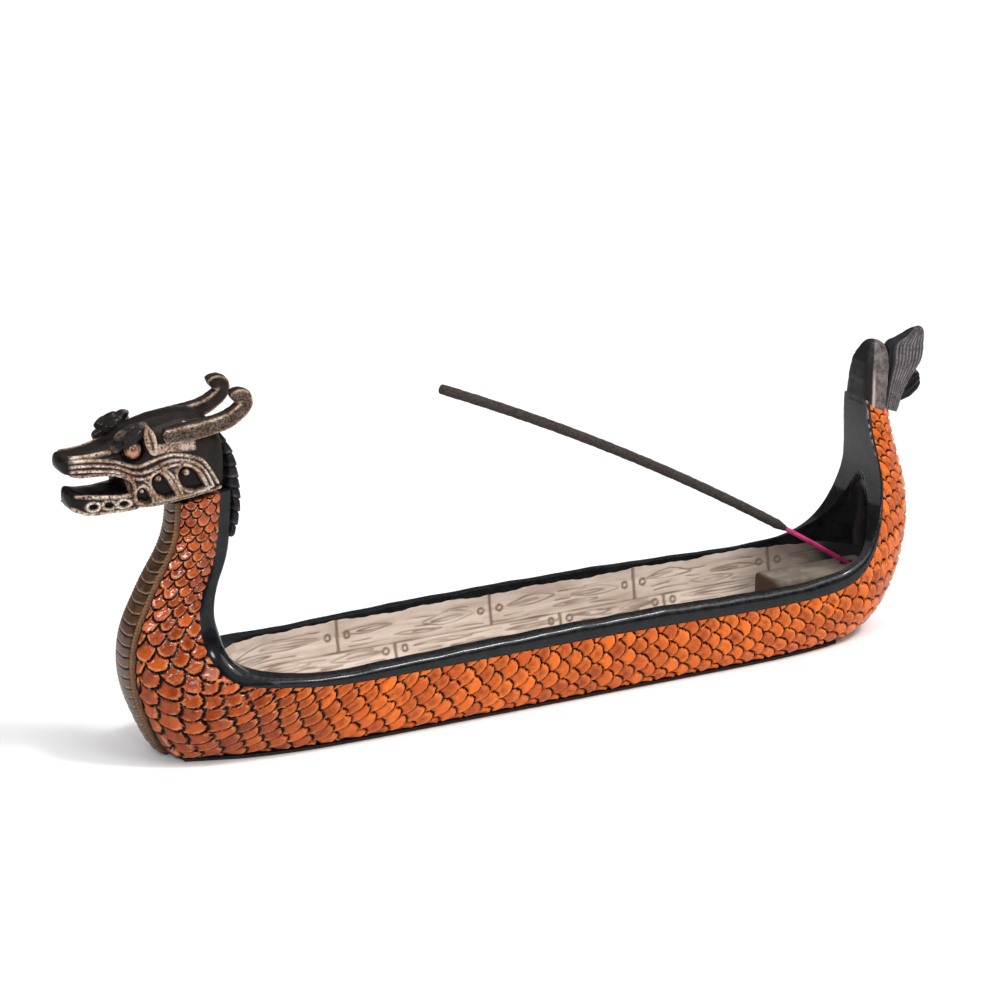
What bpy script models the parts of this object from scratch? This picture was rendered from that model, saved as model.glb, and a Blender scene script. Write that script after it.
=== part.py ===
"""Dragon-boat incense burner: a scaled resin boat with a dragon's head at the
bow, a fish tail at the stern and a loose incense stick leaning in its socket.

Frame: +X from bow to stern, +Z up, origin under the middle of the boat on the
surface it stands on.  The left side of the boat is -Y.  Sizes are millimetres.
"""

import math

import bmesh
import bpy
import numpy as np
from mathutils import Matrix, Vector

MM = 0.001
OBJECT_NAME = "dragon_boat_incense_burner"

# Gaps and thicknesses shared by several pieces.
GAP = 0.3
PAD_THICKNESS = 0.8
HULL_BOTTOM = PAD_THICKNESS + GAP
FLOOR_TOP = 4.5
LINER_THICKNESS = 1.4
LINER_TOP = 17.0
BAND_FRONT = 0.7
BAND_CROWN = 0.5

# The hull's stations, from under the head, round the bow, along the keel and
# up the stern post.  Each is a slice of the boat that holds the Y direction:
# keel x, keel z, keel half width, half widths a little above the keel and at
# mid height, rim x, rim z, rim half width, rim moulding height and the radius
# of its outer corner.
STATIONS = np.array((
    (-95.6, 66.8, 3.6, 5.0, 6.4, -85.0, 68.2, 4.8, 3.6, 3.8),
    (-96.2, 60.0, 3.8, 5.4, 6.9, -85.8, 59.5, 5.0, 3.8, 4.0),
    (-98.4, 53.5, 4.1, 5.9, 7.5, -87.2, 52.0, 5.3, 4.0, 4.2),
    (-101.8, 47.8, 4.4, 6.4, 8.0, -89.4, 46.6, 5.7, 4.4, 4.6),
    (-104.9, 42.0, 4.7, 7.0, 8.8, -91.4, 41.8, 6.2, 4.8, 5.0),
    (-107.7, 36.0, 4.9, 7.6, 9.8, -92.3, 36.8, 6.9, 5.0, 5.2),
    (-109.2, 30.0, 4.9, 8.2, 11.0, -92.1, 32.0, 7.8, 5.2, 4.8),
    (-109.4, 24.0, 4.8, 8.8, 12.6, -91.2, 27.8, 9.3, 5.0, 4.0),
    (-108.4, 18.0, 4.6, 9.8, 14.4, -89.5, 24.3, 11.6, 4.5, 3.0),
    (-106.4, 12.0, 4.4, 10.8, 16.2, -87.0, 21.8, 14.2, 4.0, 2.2),
    (-103.8, 6.0, 4.6, 11.6, 17.6, -83.6, 20.6, 16.6, 3.3, 1.8),
    (-100.4, 1.8, 6.0, 12.2, 18.8, -79.3, 20.2, 18.5, 2.6, 1.6),
    (-94.0, 1.1, 9.0, 13.0, 19.8, -74.0, 19.7, 19.8, 2.5, 1.6),
    (-84.0, 1.1, 12.0, 14.6, 20.6, -67.5, 19.0, 20.6, 2.7, 1.6),
    (-72.0, 1.1, 14.2, 16.4, 21.0, -59.0, 18.4, 21.0, 3.0, 1.6),
    (-55.0, 1.1, 15.3, 17.4, 21.2, -46.0, 18.2, 21.2, 3.3, 1.6),
    (-25.0, 1.1, 15.5, 17.8, 21.3, -20.0, 18.3, 21.2, 3.5, 1.6),
    (10.0, 1.1, 15.5, 17.6, 21.0, 10.0, 18.2, 20.8, 3.8, 1.6),
    (45.0, 1.1, 15.4, 17.4, 20.9, 42.0, 17.8, 20.7, 4.1, 1.6),
    (68.0, 1.1, 15.2, 17.2, 20.8, 62.0, 17.4, 20.6, 4.1, 1.6),
    (80.0, 1.1, 14.3, 16.6, 20.3, 74.0, 17.3, 20.1, 4.1, 1.6),
    (89.0, 1.1, 12.9, 15.6, 19.6, 82.5, 17.4, 19.5, 4.2, 1.6),
    (96.5, 1.1, 10.6, 14.2, 18.8, 89.2, 17.9, 18.8, 4.2, 1.6),
    (103.0, 1.7, 7.2, 12.6, 17.8, 94.7, 19.2, 18.0, 3.8, 1.5),
    (108.3, 3.8, 4.2, 11.2, 16.6, 99.2, 21.8, 17.0, 3.0, 1.4),
    (112.8, 7.6, 2.2, 10.0, 15.2, 102.6, 25.6, 15.6, 2.0, 1.1),
    (116.6, 12.8, 1.0, 8.9, 13.6, 105.2, 30.2, 14.0, 1.3, 0.8),
    (119.3, 18.8, 0.5, 7.9, 12.3, 106.9, 35.2, 12.4, 0.9, 0.6),
    (121.0, 25.0, 0.4, 7.0, 11.1, 107.9, 39.6, 11.0, 0.8, 0.5),
    (121.6, 31.5, 0.4, 6.3, 10.0, 108.4, 43.6, 9.9, 0.8, 0.5),
    (121.2, 38.0, 0.4, 5.7, 8.9, 108.2, 47.2, 8.9, 0.8, 0.5),
    (119.8, 44.0, 0.4, 5.2, 7.9, 107.7, 51.0, 8.0, 0.8, 0.5),
    (117.9, 50.0, 0.4, 4.8, 7.1, 107.0, 55.2, 7.1, 0.8, 0.5),
    (116.2, 56.0, 0.4, 4.5, 6.5, 106.4, 60.0, 6.4, 0.8, 0.5),
    (115.0, 61.5, 0.4, 4.3, 6.0, 106.1, 65.5, 5.8, 0.8, 0.5),
))
STATION_SPACING = 3.6
SIDE_POINTS = 7
SIDE_LOW = 0.06
SIDE_HIGH = 0.5
LAST_BAND_STATION = 11.3
BAND_TIP_STATIONS = 3.0

# The hollow: height, bow end, half width and stern end of each level.
HOLLOW_LEVELS = (
    (FLOOR_TOP, -79.0, 12.2, 104.0),
    (7.0, -81.0, 13.8, 107.0),
    (12.0, -82.5, 15.4, 109.6),
    (18.0, -83.3, 16.6, 110.8),
    (25.0, -83.5, 17.2, 111.0),
    (31.0, -83.5, 13.8, 110.6),
    (38.0, -83.5, 10.2, 109.6),
    (44.0, -83.0, 7.0, 107.6),
    (48.0, -83.0, 4.5, 105.2),
)
HOLLOW_BOW_LENGTH = 26.0
HOLLOW_STERN_LENGTH = 52.0
HOLLOW_BOW_POWER = 2.2
HOLLOW_STERN_POWER = 4.0

# Stick, socket and the block that holds it.
SOCKET_MOUTH = (103.6, 18.3)
SOCKET_ANGLE = math.radians(33.5)
SOCKET_DEPTH = 5.2
SOCKET_DIAMETER = 2.2
BLOCK_FRONT = 77.2
BLOCK_HALF_WIDTH = 5.6
BLOCK_TOP = 18.3
CORE_DIAMETER = 1.3
COAT_DIAMETER = 2.7
COAT_BORE = CORE_DIAMETER + 2 * GAP
STICK_LENGTH = 147.0
STICK_BEND = math.radians(11.0)
STRAIGHT_FOOT = 7.0
BARE_CORE = 29.0

# Head: x, underside z, top z and half width of each slice of the skull and jaw.
SKULL_SLICES = (
    (-126.6, 79.4, 82.0, 2.8),
    (-125.4, 78.3, 83.1, 4.2),
    (-121.6, 77.1, 82.8, 5.0),
    (-117.0, 76.9, 83.0, 5.7),
    (-112.5, 76.8, 84.2, 6.6),
    (-110.6, 75.4, 85.2, 7.2),
    (-109.0, 68.2, 86.2, 7.6),
    (-106.0, 67.6, 87.8, 8.0),
    (-101.0, 67.8, 89.1, 8.2),
    (-95.0, 68.3, 89.6, 8.0),
    (-90.0, 68.8, 88.6, 7.2),
    (-86.4, 69.1, 84.6, 6.4),
    (-83.6, 69.4, 80.6, 5.6),
)
JAW_SLICES = (
    (-124.6, 70.4, 74.6, 2.8),
    (-123.0, 68.3, 74.4, 4.4),
    (-119.6, 67.0, 72.9, 5.0),
    (-115.5, 67.1, 72.4, 5.8),
    (-111.6, 67.4, 72.6, 6.6),
    (-109.5, 67.6, 72.8, 7.0),
)
EYE_CENTRE = (-109.0, 7.2, 83.4)
EYE_RADIUS = 2.1
BROW_CENTRE = (-107.4, 5.6, 87.0)
BROW_RADII = (4.0, 2.4, 1.9)
BROW_TILT = math.radians(-22.0)
EAR_CENTRE = (-104.4, 7.7, 85.4)
EAR_RADII = (1.3, 1.2, 4.2)
EAR_TILT = math.radians(-14.0)
HORN_OUT = 7.0
HORN_PATH = (
    (-99.2, 85.4, 2.0),
    (-93.0, 85.7, 2.1),
    (-87.5, 86.3, 2.0),
    (-84.0, 87.3, 1.9),
    (-81.3, 88.6, 1.8),
    (-79.1, 90.3, 1.7),
    (-78.3, 92.0, 1.6),
    (-79.0, 93.5, 1.6),
    (-80.8, 93.9, 1.6),
    (-82.4, 93.2, 1.5),
)
# Mane: x and z of its inner and outer edge, from the crown down the neck.
MANE_SLICES = (
    (-86.4, 84.9, -85.0, 85.6),
    (-85.6, 81.6, -83.0, 82.3),
    (-83.4, 77.6, -80.6, 78.0),
    (-82.9, 73.0, -79.3, 73.0),
    (-82.7, 69.5, -78.8, 68.7),
    (-81.6, 65.5, -78.8, 64.7),
    (-82.0, 60.5, -79.5, 59.8),
    (-83.2, 56.0, -81.1, 55.2),
)
MANE_HALF_WIDTH = 4.2
MANE_NOTCH_DEPTH = 0.7
MANE_NOTCHES = 9

# Tail lobes: fore point, aft point and half width of each slice, root to tip.
TAIL_FORE = (
    (105.2, 66.3, 112.1, 63.2, 5.7),
    (105.5, 71.5, 112.9, 69.5, 5.2),
    (106.2, 76.0, 113.5, 74.5, 4.2),
    (107.7, 79.3, 113.5, 78.3, 2.7),
    (109.0, 81.4, 112.3, 80.8, 1.4),
)
TAIL_MAIN = (
    (112.5, 63.0, 117.3, 60.9, 4.0),
    (113.3, 69.3, 121.0, 68.0, 3.4),
    (114.0, 75.0, 125.3, 73.0, 2.7),
    (114.2, 79.4, 126.6, 78.0, 2.3),
    (118.6, 80.8, 126.6, 81.0, 1.9),
    (122.4, 82.8, 126.0, 83.4, 1.2),
)
TAIL_LOWER = (
    (119.9, 64.9, 119.5, 62.3, 1.5),
    (121.4, 68.1, 122.8, 62.9, 1.8),
    (124.6, 70.4, 126.0, 64.7, 1.7),
    (126.5, 69.2, 126.6, 66.6, 1.0),
)
TAIL_LOWER_OUT = 1.2
TAIL_ROUNDING = 0.55

COLOURS = {
    "scales": ((0.46, 0.13, 0.03), 0.30, 0.0),
    "black": ((0.02, 0.021, 0.024), 0.35, 0.0),
    "bronze": ((0.22, 0.10, 0.05), 0.35, 0.2),
    "plank": ((0.56, 0.47, 0.37), 0.75, 0.0),
    "block": ((0.36, 0.31, 0.25), 0.80, 0.0),
    "felt": ((0.03, 0.03, 0.03), 0.95, 0.0),
    "charcoal": ((0.05, 0.043, 0.040), 0.45, 0.1),
    "copper": ((0.30, 0.15, 0.09), 0.30, 0.5),
    "fin": ((0.15, 0.13, 0.12), 0.50, 0.0),
    "incense": ((0.045, 0.035, 0.03), 0.90, 0.0),
    "bamboo": ((0.50, 0.02, 0.14), 0.60, 0.0),
}


def clear_scene():
    """Remove every object that the file opened with."""
    for old in list(bpy.data.objects):
        bpy.data.objects.remove(old, do_unlink=True)


def new_collection(name):
    """A collection linked to the scene."""
    made = bpy.data.collections.new(name)
    bpy.context.scene.collection.children.link(made)
    return made


def material(slot):
    """The Principled BSDF material of one colour slot, made once."""
    found = bpy.data.materials.get(slot)
    if found:
        return found
    colour, roughness, metallic = COLOURS[slot]
    made = bpy.data.materials.new(slot)
    made.use_nodes = True
    shader = made.node_tree.nodes["Principled BSDF"]
    shader.inputs["Base Color"].default_value = (*colour, 1.0)
    shader.inputs["Roughness"].default_value = roughness
    shader.inputs["Metallic"].default_value = metallic
    made.diffuse_color = (*colour, 1.0)
    return made


def add_object(name, bm, slot):
    """Turn a bmesh in millimetres into a named part, shaded smooth."""
    bmesh.ops.recalc_face_normals(bm, faces=bm.faces)
    bmesh.ops.scale(bm, vec=(MM, MM, MM), verts=bm.verts)
    mesh = bpy.data.meshes.new(name)
    bm.to_mesh(mesh)
    bm.free()
    mesh.shade_smooth()
    mesh.set_sharp_from_angle(angle=math.radians(40))
    made = bpy.data.objects.new(name, mesh)
    PARTS.objects.link(made)
    made.data.materials.append(material(slot))
    return made


def add_cutter(name, bm):
    """Turn a bmesh in millimetres into a hidden cutter."""
    made = add_object(name, bm, "black")
    PARTS.objects.unlink(made)
    CUTTERS.objects.link(made)
    made.hide_render = True
    made.display_type = 'WIRE'
    return made


def boolean(target, cutter, operation='DIFFERENCE'):
    """Cut, join or intersect a part with a cutter, as a live modifier."""
    step = target.modifiers.new(cutter.name, 'BOOLEAN')
    step.object = cutter
    step.operation = operation
    step.solver = 'EXACT'


def grown_cutter(part, distance=GAP):
    """A cutter the shape of a part, every face moved outwards."""
    depsgraph = bpy.context.evaluated_depsgraph_get()
    bm = bmesh.new()
    bm.from_object(part, depsgraph)
    bm.transform(part.matrix_world)
    bmesh.ops.scale(bm, vec=(1 / MM, 1 / MM, 1 / MM), verts=bm.verts)
    bm.normal_update()
    moved = [vert.co + vert.normal * distance for vert in bm.verts]
    for vert, place in zip(bm.verts, moved):
        vert.co = place
    return add_cutter(part.name + "_clearance", bm)


def cubic(knots, values, wanted):
    """Natural cubic spline through values at the knots, read where wanted."""
    steps = np.diff(knots)
    count = len(knots)
    system = np.eye(count)
    right = np.zeros((count, values.shape[1]))
    slopes = np.diff(values, axis=0) / steps[:, None]
    for row in range(1, count - 1):
        system[row, row - 1] = steps[row - 1]
        system[row, row] = 2 * (steps[row - 1] + steps[row])
        system[row, row + 1] = steps[row]
        right[row] = 6 * (slopes[row] - slopes[row - 1])
    bend = np.linalg.solve(system, right)
    span = np.clip(np.searchsorted(knots, wanted) - 1, 0, count - 2)
    step = steps[span][:, None]
    after = (wanted - knots[span])[:, None]
    before = step - after
    return ((bend[span] * before ** 3 + bend[span + 1] * after ** 3) / (6 * step)
            + (values[span] / step - bend[span] * step / 6) * before
            + (values[span + 1] / step - bend[span + 1] * step / 6) * after)


def hull_slices():
    """The stations joined by a smooth curve and read at even steps."""
    middle = (STATIONS[:, 0:2] + STATIONS[:, 5:7]) / 2
    run = np.linalg.norm(np.diff(middle, axis=0), axis=1)
    knots = np.concatenate(([0.0], np.cumsum(run)))
    wanted = np.linspace(0.0, knots[-1], int(knots[-1] / STATION_SPACING) + 1)
    slices = cubic(knots, STATIONS, wanted)
    slices[:, 1] = np.maximum(slices[:, 1], HULL_BOTTOM)
    slices[:, 2] = np.maximum(slices[:, 2], STATIONS[:, 2].min())
    number = np.interp(wanted, knots, np.arange(len(knots)))
    return slices, number


def side_curve(one):
    """One side of a slice, keel to rim, as (along keel-to-rim, half width)."""
    t = np.linspace(0.0, 1.0, SIDE_POINTS)
    weights = ((1 - t) ** 3, 3 * t * (1 - t) ** 2, 3 * t ** 2 * (1 - t), t ** 3)
    along = weights[1] * SIDE_LOW + weights[2] * SIDE_HIGH + weights[3]
    out = weights[0] * one[2] + weights[1] * one[3] + weights[2] * one[4] + weights[3] * one[7]
    return along, out


def slice_frame(one):
    """Keel point, unit direction to the rim and length of one slice."""
    keel = one[0:2]
    rise = one[5:7] - keel
    length = np.linalg.norm(rise)
    return keel, rise / length, length


def place(keel, direction, distance, out):
    """World point at a distance from the keel point and a half width out."""
    spot = keel + direction * distance
    return (spot[0], out, spot[1])


def loft(rings):
    """Closed solid through rings of equally many points, with flat ends."""
    bm = bmesh.new()
    rows = [[bm.verts.new(point) for point in ring] for ring in rings]
    count = len(rows[0])
    for first, second in zip(rows, rows[1:]):
        for here in range(count):
            after = (here + 1) % count
            bm.faces.new((first[here], first[after], second[after], second[here]))
    bm.faces.new(rows[0][::-1])
    bm.faces.new(rows[-1])
    return bm


def mirrored_ring(half):
    """A ring from its left half, keel side first, and the same on the right."""
    left = [(x, -y, z) for x, y, z in half]
    right = [(x, y, z) for x, y, z in reversed(half)]
    return left + right


def hollow_outline(bow, half_width, stern, points=22):
    """Half widths of the hollow at one level, from its bow end to its stern end."""
    turn = np.linspace(0.0, math.pi, points)
    bow_side = turn < math.pi / 2
    cosine = np.abs(np.cos(turn))
    power = np.where(bow_side, HOLLOW_BOW_POWER, HOLLOW_STERN_POWER)
    reach = cosine ** (2 / power)
    out = half_width * np.sin(turn) ** (2 / HOLLOW_BOW_POWER)
    x = np.where(bow_side, bow + HOLLOW_BOW_LENGTH * (1 - reach),
                 stern - HOLLOW_STERN_LENGTH * (1 - reach))
    return x, out


def hollow_solid(grow, lowest, highest):
    """The boat's hollow, its walls moved out by grow, between two heights."""
    levels = np.array(HOLLOW_LEVELS)
    heights = sorted({lowest, highest} | {z for z in levels[:, 0] if lowest < z < highest})
    rings = []
    for z in heights:
        bow, wide, stern = (np.interp(z, levels[:, 0], levels[:, k]) for k in (1, 2, 3))
        x, out = hollow_outline(bow - grow, wide + grow, stern + grow)
        ring = [(px, -py, z) for px, py in zip(x, out)]
        ring += [(px, py, z) for px, py in zip(x[-2:0:-1], out[-2:0:-1])]
        rings.append(ring)
    return loft(rings)


def hull_shell(slices):
    """The scaled hull with its neck and stern post, hollowed out."""
    rings = []
    for one in slices:
        keel, direction, length = slice_frame(one)
        along, out = side_curve(one)
        rings.append(mirrored_ring([place(keel, direction, a * length, o)
                                    for a, o in zip(along, out)]))
    shell = add_object("hull_shell", loft(rings), "scales")
    boolean(shell, add_cutter("hull_hollow", hollow_solid(0.0, FLOOR_TOP, 48.0)))
    seat = LINER_THICKNESS + GAP
    boolean(shell, add_cutter("liner_seat", hollow_solid(seat, FLOOR_TOP - seat, LINER_TOP + GAP)))
    return shell


def gunwale_trim(slices):
    """The black moulding on the rim, down the neck's back and up the post."""
    rings = []
    for one in slices:
        keel, direction, length = slice_frame(one)
        rim, cap, corner = one[7], one[8], min(one[9], one[7] - GAP)
        half = [place(keel, direction, length + GAP / 2, rim)]
        for turn in np.radians((0, 30, 60, 90)):
            height = GAP + cap * (0.45 + 0.55 * math.sin(turn))
            half.append(place(keel, direction, length + height, rim - corner * (1 - math.cos(turn))))
        rings.append(mirrored_ring(half))
    trim = add_object("gunwale_trim", loft(rings), "black")
    boolean(trim, bpy.data.objects["hull_hollow"])
    return trim


def breast_band(slices, number):
    """The curved strip of breast plates on the front of the neck."""
    rings = []
    for one, station in zip(slices, number):
        if station > LAST_BAND_STATION:
            break
        keel, direction, _ = slice_frame(one)
        taper = np.clip((LAST_BAND_STATION - station) / BAND_TIP_STATIONS, 0.0, 1.0)
        wide = max(one[2] * math.sqrt(taper), 1.0)
        half = [place(keel, direction, -GAP, wide)]
        for share in (1.0, 0.85, 0.5, 0.01):
            lift = BAND_FRONT * 0.5 if share == 1.0 else BAND_FRONT + BAND_CROWN * (1 - share ** 2)
            half.append(place(keel, direction, -GAP - lift, wide * share))
        rings.append(mirrored_ring(half))
    return add_object("breast_band", loft(rings), "bronze")


def base_pad(slices):
    """The thin pad under the flat bottom, inside the chine line."""
    flat = slices[slices[:, 1] < HULL_BOTTOM + 0.02]
    outline = [(x, -wide) for x, wide in flat[:, (0, 2)]]
    outline += [(x, wide) for x, wide in flat[::-1, (0, 2)]]
    bm = loft([[(x, y, z) for x, y in outline] for z in (0.0, PAD_THICKNESS)])
    return add_object("base_pad", bm, "felt")


def plank_liner():
    """The thin tray of deck planks inside the hull."""
    outside = hollow_solid(LINER_THICKNESS, FLOOR_TOP - LINER_THICKNESS, LINER_TOP)
    liner = add_object("plank_liner", outside, "plank")
    boolean(liner, add_cutter("liner_inside", hollow_solid(0.0, FLOOR_TOP, LINER_TOP + 4.0)))
    return liner


def socket_axis():
    """Socket mouth and the unit direction out of it, in x and z."""
    return np.array(SOCKET_MOUTH), np.array((-math.cos(SOCKET_ANGLE), math.sin(SOCKET_ANGLE)))


def stick_block():
    """The raised block in the stern with the slanting socket for the stick."""
    long = 40.0
    bm = bmesh.new()
    bmesh.ops.create_cube(bm, size=1.0)
    bottom = FLOOR_TOP + GAP
    bmesh.ops.scale(bm, vec=(long, 2 * BLOCK_HALF_WIDTH, BLOCK_TOP - bottom), verts=bm.verts)
    bmesh.ops.translate(bm, vec=(BLOCK_FRONT + long / 2, 0, (BLOCK_TOP + bottom) / 2), verts=bm.verts)
    block = add_object("stick_block", bm, "block")
    inside = hollow_solid(-GAP, bottom, 24.0)
    boolean(block, add_cutter("block_limit", inside), 'INTERSECT')
    mouth, out = socket_axis()
    bore = SOCKET_DEPTH + 6.0
    centre = mouth + out * (bore / 2 - SOCKET_DEPTH)
    drill = bmesh.new()
    bmesh.ops.create_cone(drill, cap_ends=True, segments=16, radius1=SOCKET_DIAMETER / 2,
                          radius2=SOCKET_DIAMETER / 2, depth=bore)
    turn = Vector((out[0], 0, out[1])).to_track_quat('Z', 'Y').to_matrix().to_4x4()
    drill.transform(Matrix.Translation((centre[0], 0, centre[1])) @ turn)
    boolean(block, add_cutter("socket_drill", drill))
    return block


def head_solid(slices_of_head, points=16):
    """Closed solid through upright egg-shaped slices, fuller below than above."""
    turn = np.linspace(0, 2 * math.pi, points, endpoint=False) + math.pi / points
    rings = []
    for x, low, high, wide in slices_of_head:
        upright = np.sin(turn)
        power = np.where(upright > 0, 1.0, 0.3)
        y = wide * np.sign(np.cos(turn)) * np.abs(np.cos(turn)) ** power
        z = (low + high) / 2 + (high - low) / 2 * np.sign(upright) * np.abs(upright) ** 0.8
        rings.append([(x, py, pz) for py, pz in zip(y, z)])
    return loft(rings)


def ellipsoid(name, centre, radii, tilt, slot, side):
    """A rounded lump on one side of the head, turned about the Y direction."""
    bm = bmesh.new()
    bmesh.ops.create_uvsphere(bm, u_segments=16, v_segments=10, radius=1.0)
    bmesh.ops.scale(bm, vec=radii, verts=bm.verts)
    bmesh.ops.rotate(bm, cent=(0, 0, 0), matrix=Matrix.Rotation(tilt, 3, 'Y'), verts=bm.verts)
    bmesh.ops.translate(bm, vec=(centre[0], side * centre[1], centre[2]), verts=bm.verts)
    return add_object(name, bm, slot)


def tube(name, path, slot, bevel_resolution=2):
    """A round rod along (x, y, z, radius) points, made a closed mesh."""
    curve = bpy.data.curves.new(name, 'CURVE')
    curve.dimensions = '3D'
    curve.bevel_depth = MM
    curve.bevel_resolution = bevel_resolution
    curve.use_fill_caps = True
    line = curve.splines.new('POLY')
    line.points.add(len(path) - 1)
    for point, (x, y, z, radius) in zip(line.points, path):
        point.co = (x * MM, y * MM, z * MM, 1.0)
        point.radius = radius
    rod = bpy.data.objects.new(name + "_curve", curve)
    PARTS.objects.link(rod)
    bpy.context.view_layer.update()
    mesh = bpy.data.meshes.new_from_object(rod.evaluated_get(bpy.context.evaluated_depsgraph_get()))
    bm = bmesh.new()
    bm.from_mesh(mesh)
    bmesh.ops.remove_doubles(bm, verts=bm.verts, dist=1e-6)
    bmesh.ops.scale(bm, vec=(1 / MM, 1 / MM, 1 / MM), verts=bm.verts)
    bpy.data.objects.remove(rod, do_unlink=True)
    return add_object(name, bm, slot)


def horn(name, side):
    """A horn that runs back along the crown and curls up at its end."""
    points = np.array(HORN_PATH)
    knots = np.arange(len(points), dtype=float)
    smooth = cubic(knots, points, np.linspace(0, knots[-1], 2 * len(points) + 3))
    path = [(x, side * HORN_OUT, z, radius) for x, z, radius in smooth]
    return tube(name, path, "charcoal")


def mane_crest():
    """The notched crest behind the head and down the nape."""
    points = np.array(MANE_SLICES)
    knots = np.arange(len(points), dtype=float)
    wanted = np.linspace(0, knots[-1], 4 * MANE_NOTCHES + 1)
    rings = []
    for number, (xi, zi, xo, zo) in enumerate(cubic(knots, points, wanted)):
        notch = MANE_NOTCH_DEPTH * (number % 4 == 2)
        thick = np.array((xo - xi, zo - zi))
        outer = np.array((xo, zo)) - thick / np.linalg.norm(thick) * notch
        ends = min(1.0, 0.55 + 0.15 * min(number, 4 * MANE_NOTCHES - number))
        wide = MANE_HALF_WIDTH * ends
        half = [(xi, wide, zi), (outer[0] - 0.8, wide, outer[1]), (outer[0], wide * 0.6, outer[1])]
        rings.append(mirrored_ring(half))
    return add_object("mane_crest", loft(rings), "black")


def tail_lobe(name, slices_of_lobe, out=0.0, points=12):
    """One lobe of the tail, a solid through oval slices from root to tip."""
    turn = np.linspace(0, 2 * math.pi, points, endpoint=False)
    across, along = np.cos(turn), np.sin(turn)
    across = np.sign(across) * np.abs(across) ** TAIL_ROUNDING
    rings = []
    for fore_x, fore_z, aft_x, aft_z, wide in slices_of_lobe:
        middle_x, middle_z = (fore_x + aft_x) / 2, (fore_z + aft_z) / 2
        rings.append([(middle_x + (fore_x - middle_x) * a, out + wide * c,
                       middle_z + (fore_z - middle_z) * a) for a, c in zip(along, across)])
    return add_object(name, loft(rings), "fin")


def stick_path(start, stop, radius, points):
    """Points on the drooping stick between two distances from its foot."""
    mouth, out = socket_axis()
    foot = mouth - out * (SOCKET_DEPTH - GAP)
    bend = STICK_BEND / (STICK_LENGTH - STRAIGHT_FOOT)
    normal = np.array((-out[1], out[0]))
    path = []
    for along in np.linspace(start, stop, points):
        straight = min(along, STRAIGHT_FOOT)
        turned = (along - straight) * bend
        spot = foot + out * (straight + math.sin(turned) / bend)
        spot = spot + normal * (1 - math.cos(turned)) / bend
        path.append((spot[0], 0.0, spot[1], radius))
    return path


def incense_stick():
    """The bamboo core and the incense coat round its upper part."""
    core = tube("incense_core", stick_path(0.0, STICK_LENGTH - 2.0, CORE_DIAMETER / 2, 34), "bamboo")
    coat = tube("incense_coat", stick_path(BARE_CORE, STICK_LENGTH, COAT_DIAMETER / 2, 34), "incense")
    bore = tube("coat_bore", stick_path(BARE_CORE - 2.0, STICK_LENGTH - 1.7, COAT_BORE / 2, 36),
                "incense")
    PARTS.objects.unlink(bore)
    CUTTERS.objects.link(bore)
    bore.hide_render = True
    bore.display_type = 'WIRE'
    boolean(coat, bore)
    return core, coat


def head_parts():
    """Skull, jaw, eyes, brows, ears, horns and mane, each cut clear of the skull."""
    skull = add_object("dragon_skull", head_solid(SKULL_SLICES), "charcoal")
    jaw = add_object("lower_jaw", head_solid(JAW_SLICES), "charcoal")
    boolean(skull, grown_cutter(jaw))
    mane_clearance = grown_cutter(mane_crest())
    boolean(skull, mane_clearance)
    boolean(bpy.data.objects["gunwale_trim"], mane_clearance)
    for word, side in (("left", -1), ("right", 1)):
        brow = ellipsoid("brow_" + word, BROW_CENTRE, BROW_RADII, BROW_TILT, "charcoal", side)
        ear = ellipsoid("ear_" + word, EAR_CENTRE, EAR_RADII, EAR_TILT, "copper", side)
        eye = ellipsoid("eye_" + word, EYE_CENTRE, (EYE_RADIUS,) * 3, 0.0, "copper", side)
        boolean(ear, grown_cutter(brow))
        boolean(eye, bpy.data.objects[brow.name + "_clearance"])
        for part in (brow, ear, eye, horn("horn_" + word, side)):
            cutter = bpy.data.objects.get(part.name + "_clearance") or grown_cutter(part)
            boolean(skull, cutter)


def tail_parts():
    """The three lobes of the fish tail on top of the stern post."""
    tail_lobe("tail_lobe_fore", TAIL_FORE)
    lower = tail_lobe("tail_lobe_lower", TAIL_LOWER, TAIL_LOWER_OUT)
    boolean(tail_lobe("tail_lobe_main", TAIL_MAIN), grown_cutter(lower))


def build():
    """Make every part of the burner."""
    slices, number = hull_slices()
    hull_shell(slices)
    gunwale_trim(slices)
    breast_band(slices, number)
    base_pad(slices)
    plank_liner()
    stick_block()
    head_parts()
    tail_parts()
    incense_stick()


clear_scene()
PARTS = new_collection(OBJECT_NAME)
CUTTERS = new_collection("cutters")
build()
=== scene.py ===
"""Finished look of the dragon-boat incense burner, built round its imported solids.

Every sculpted piece is a surface worked out on a grid of two numbers, in
millimetres, and written to its mesh in metres.  +X runs from bow to stern, the
left side is -Y and +Z is up.
"""
import math

import bmesh
import bpy
import numpy as np
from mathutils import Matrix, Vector


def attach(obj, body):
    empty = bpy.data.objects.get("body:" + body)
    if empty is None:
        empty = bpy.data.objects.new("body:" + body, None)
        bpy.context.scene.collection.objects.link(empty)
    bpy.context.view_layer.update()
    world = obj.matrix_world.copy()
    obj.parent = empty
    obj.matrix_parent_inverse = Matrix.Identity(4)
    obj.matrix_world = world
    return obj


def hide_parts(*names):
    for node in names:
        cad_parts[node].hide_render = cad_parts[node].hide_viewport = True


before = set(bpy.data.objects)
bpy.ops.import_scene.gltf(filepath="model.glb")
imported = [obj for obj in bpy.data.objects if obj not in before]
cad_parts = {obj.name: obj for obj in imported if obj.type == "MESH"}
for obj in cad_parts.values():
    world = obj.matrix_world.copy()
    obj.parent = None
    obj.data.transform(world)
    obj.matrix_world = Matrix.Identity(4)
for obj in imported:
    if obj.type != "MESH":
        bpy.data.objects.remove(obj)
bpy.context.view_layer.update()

MM = 0.001
GAP = 0.3
OVERLAP = -0.25
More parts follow.
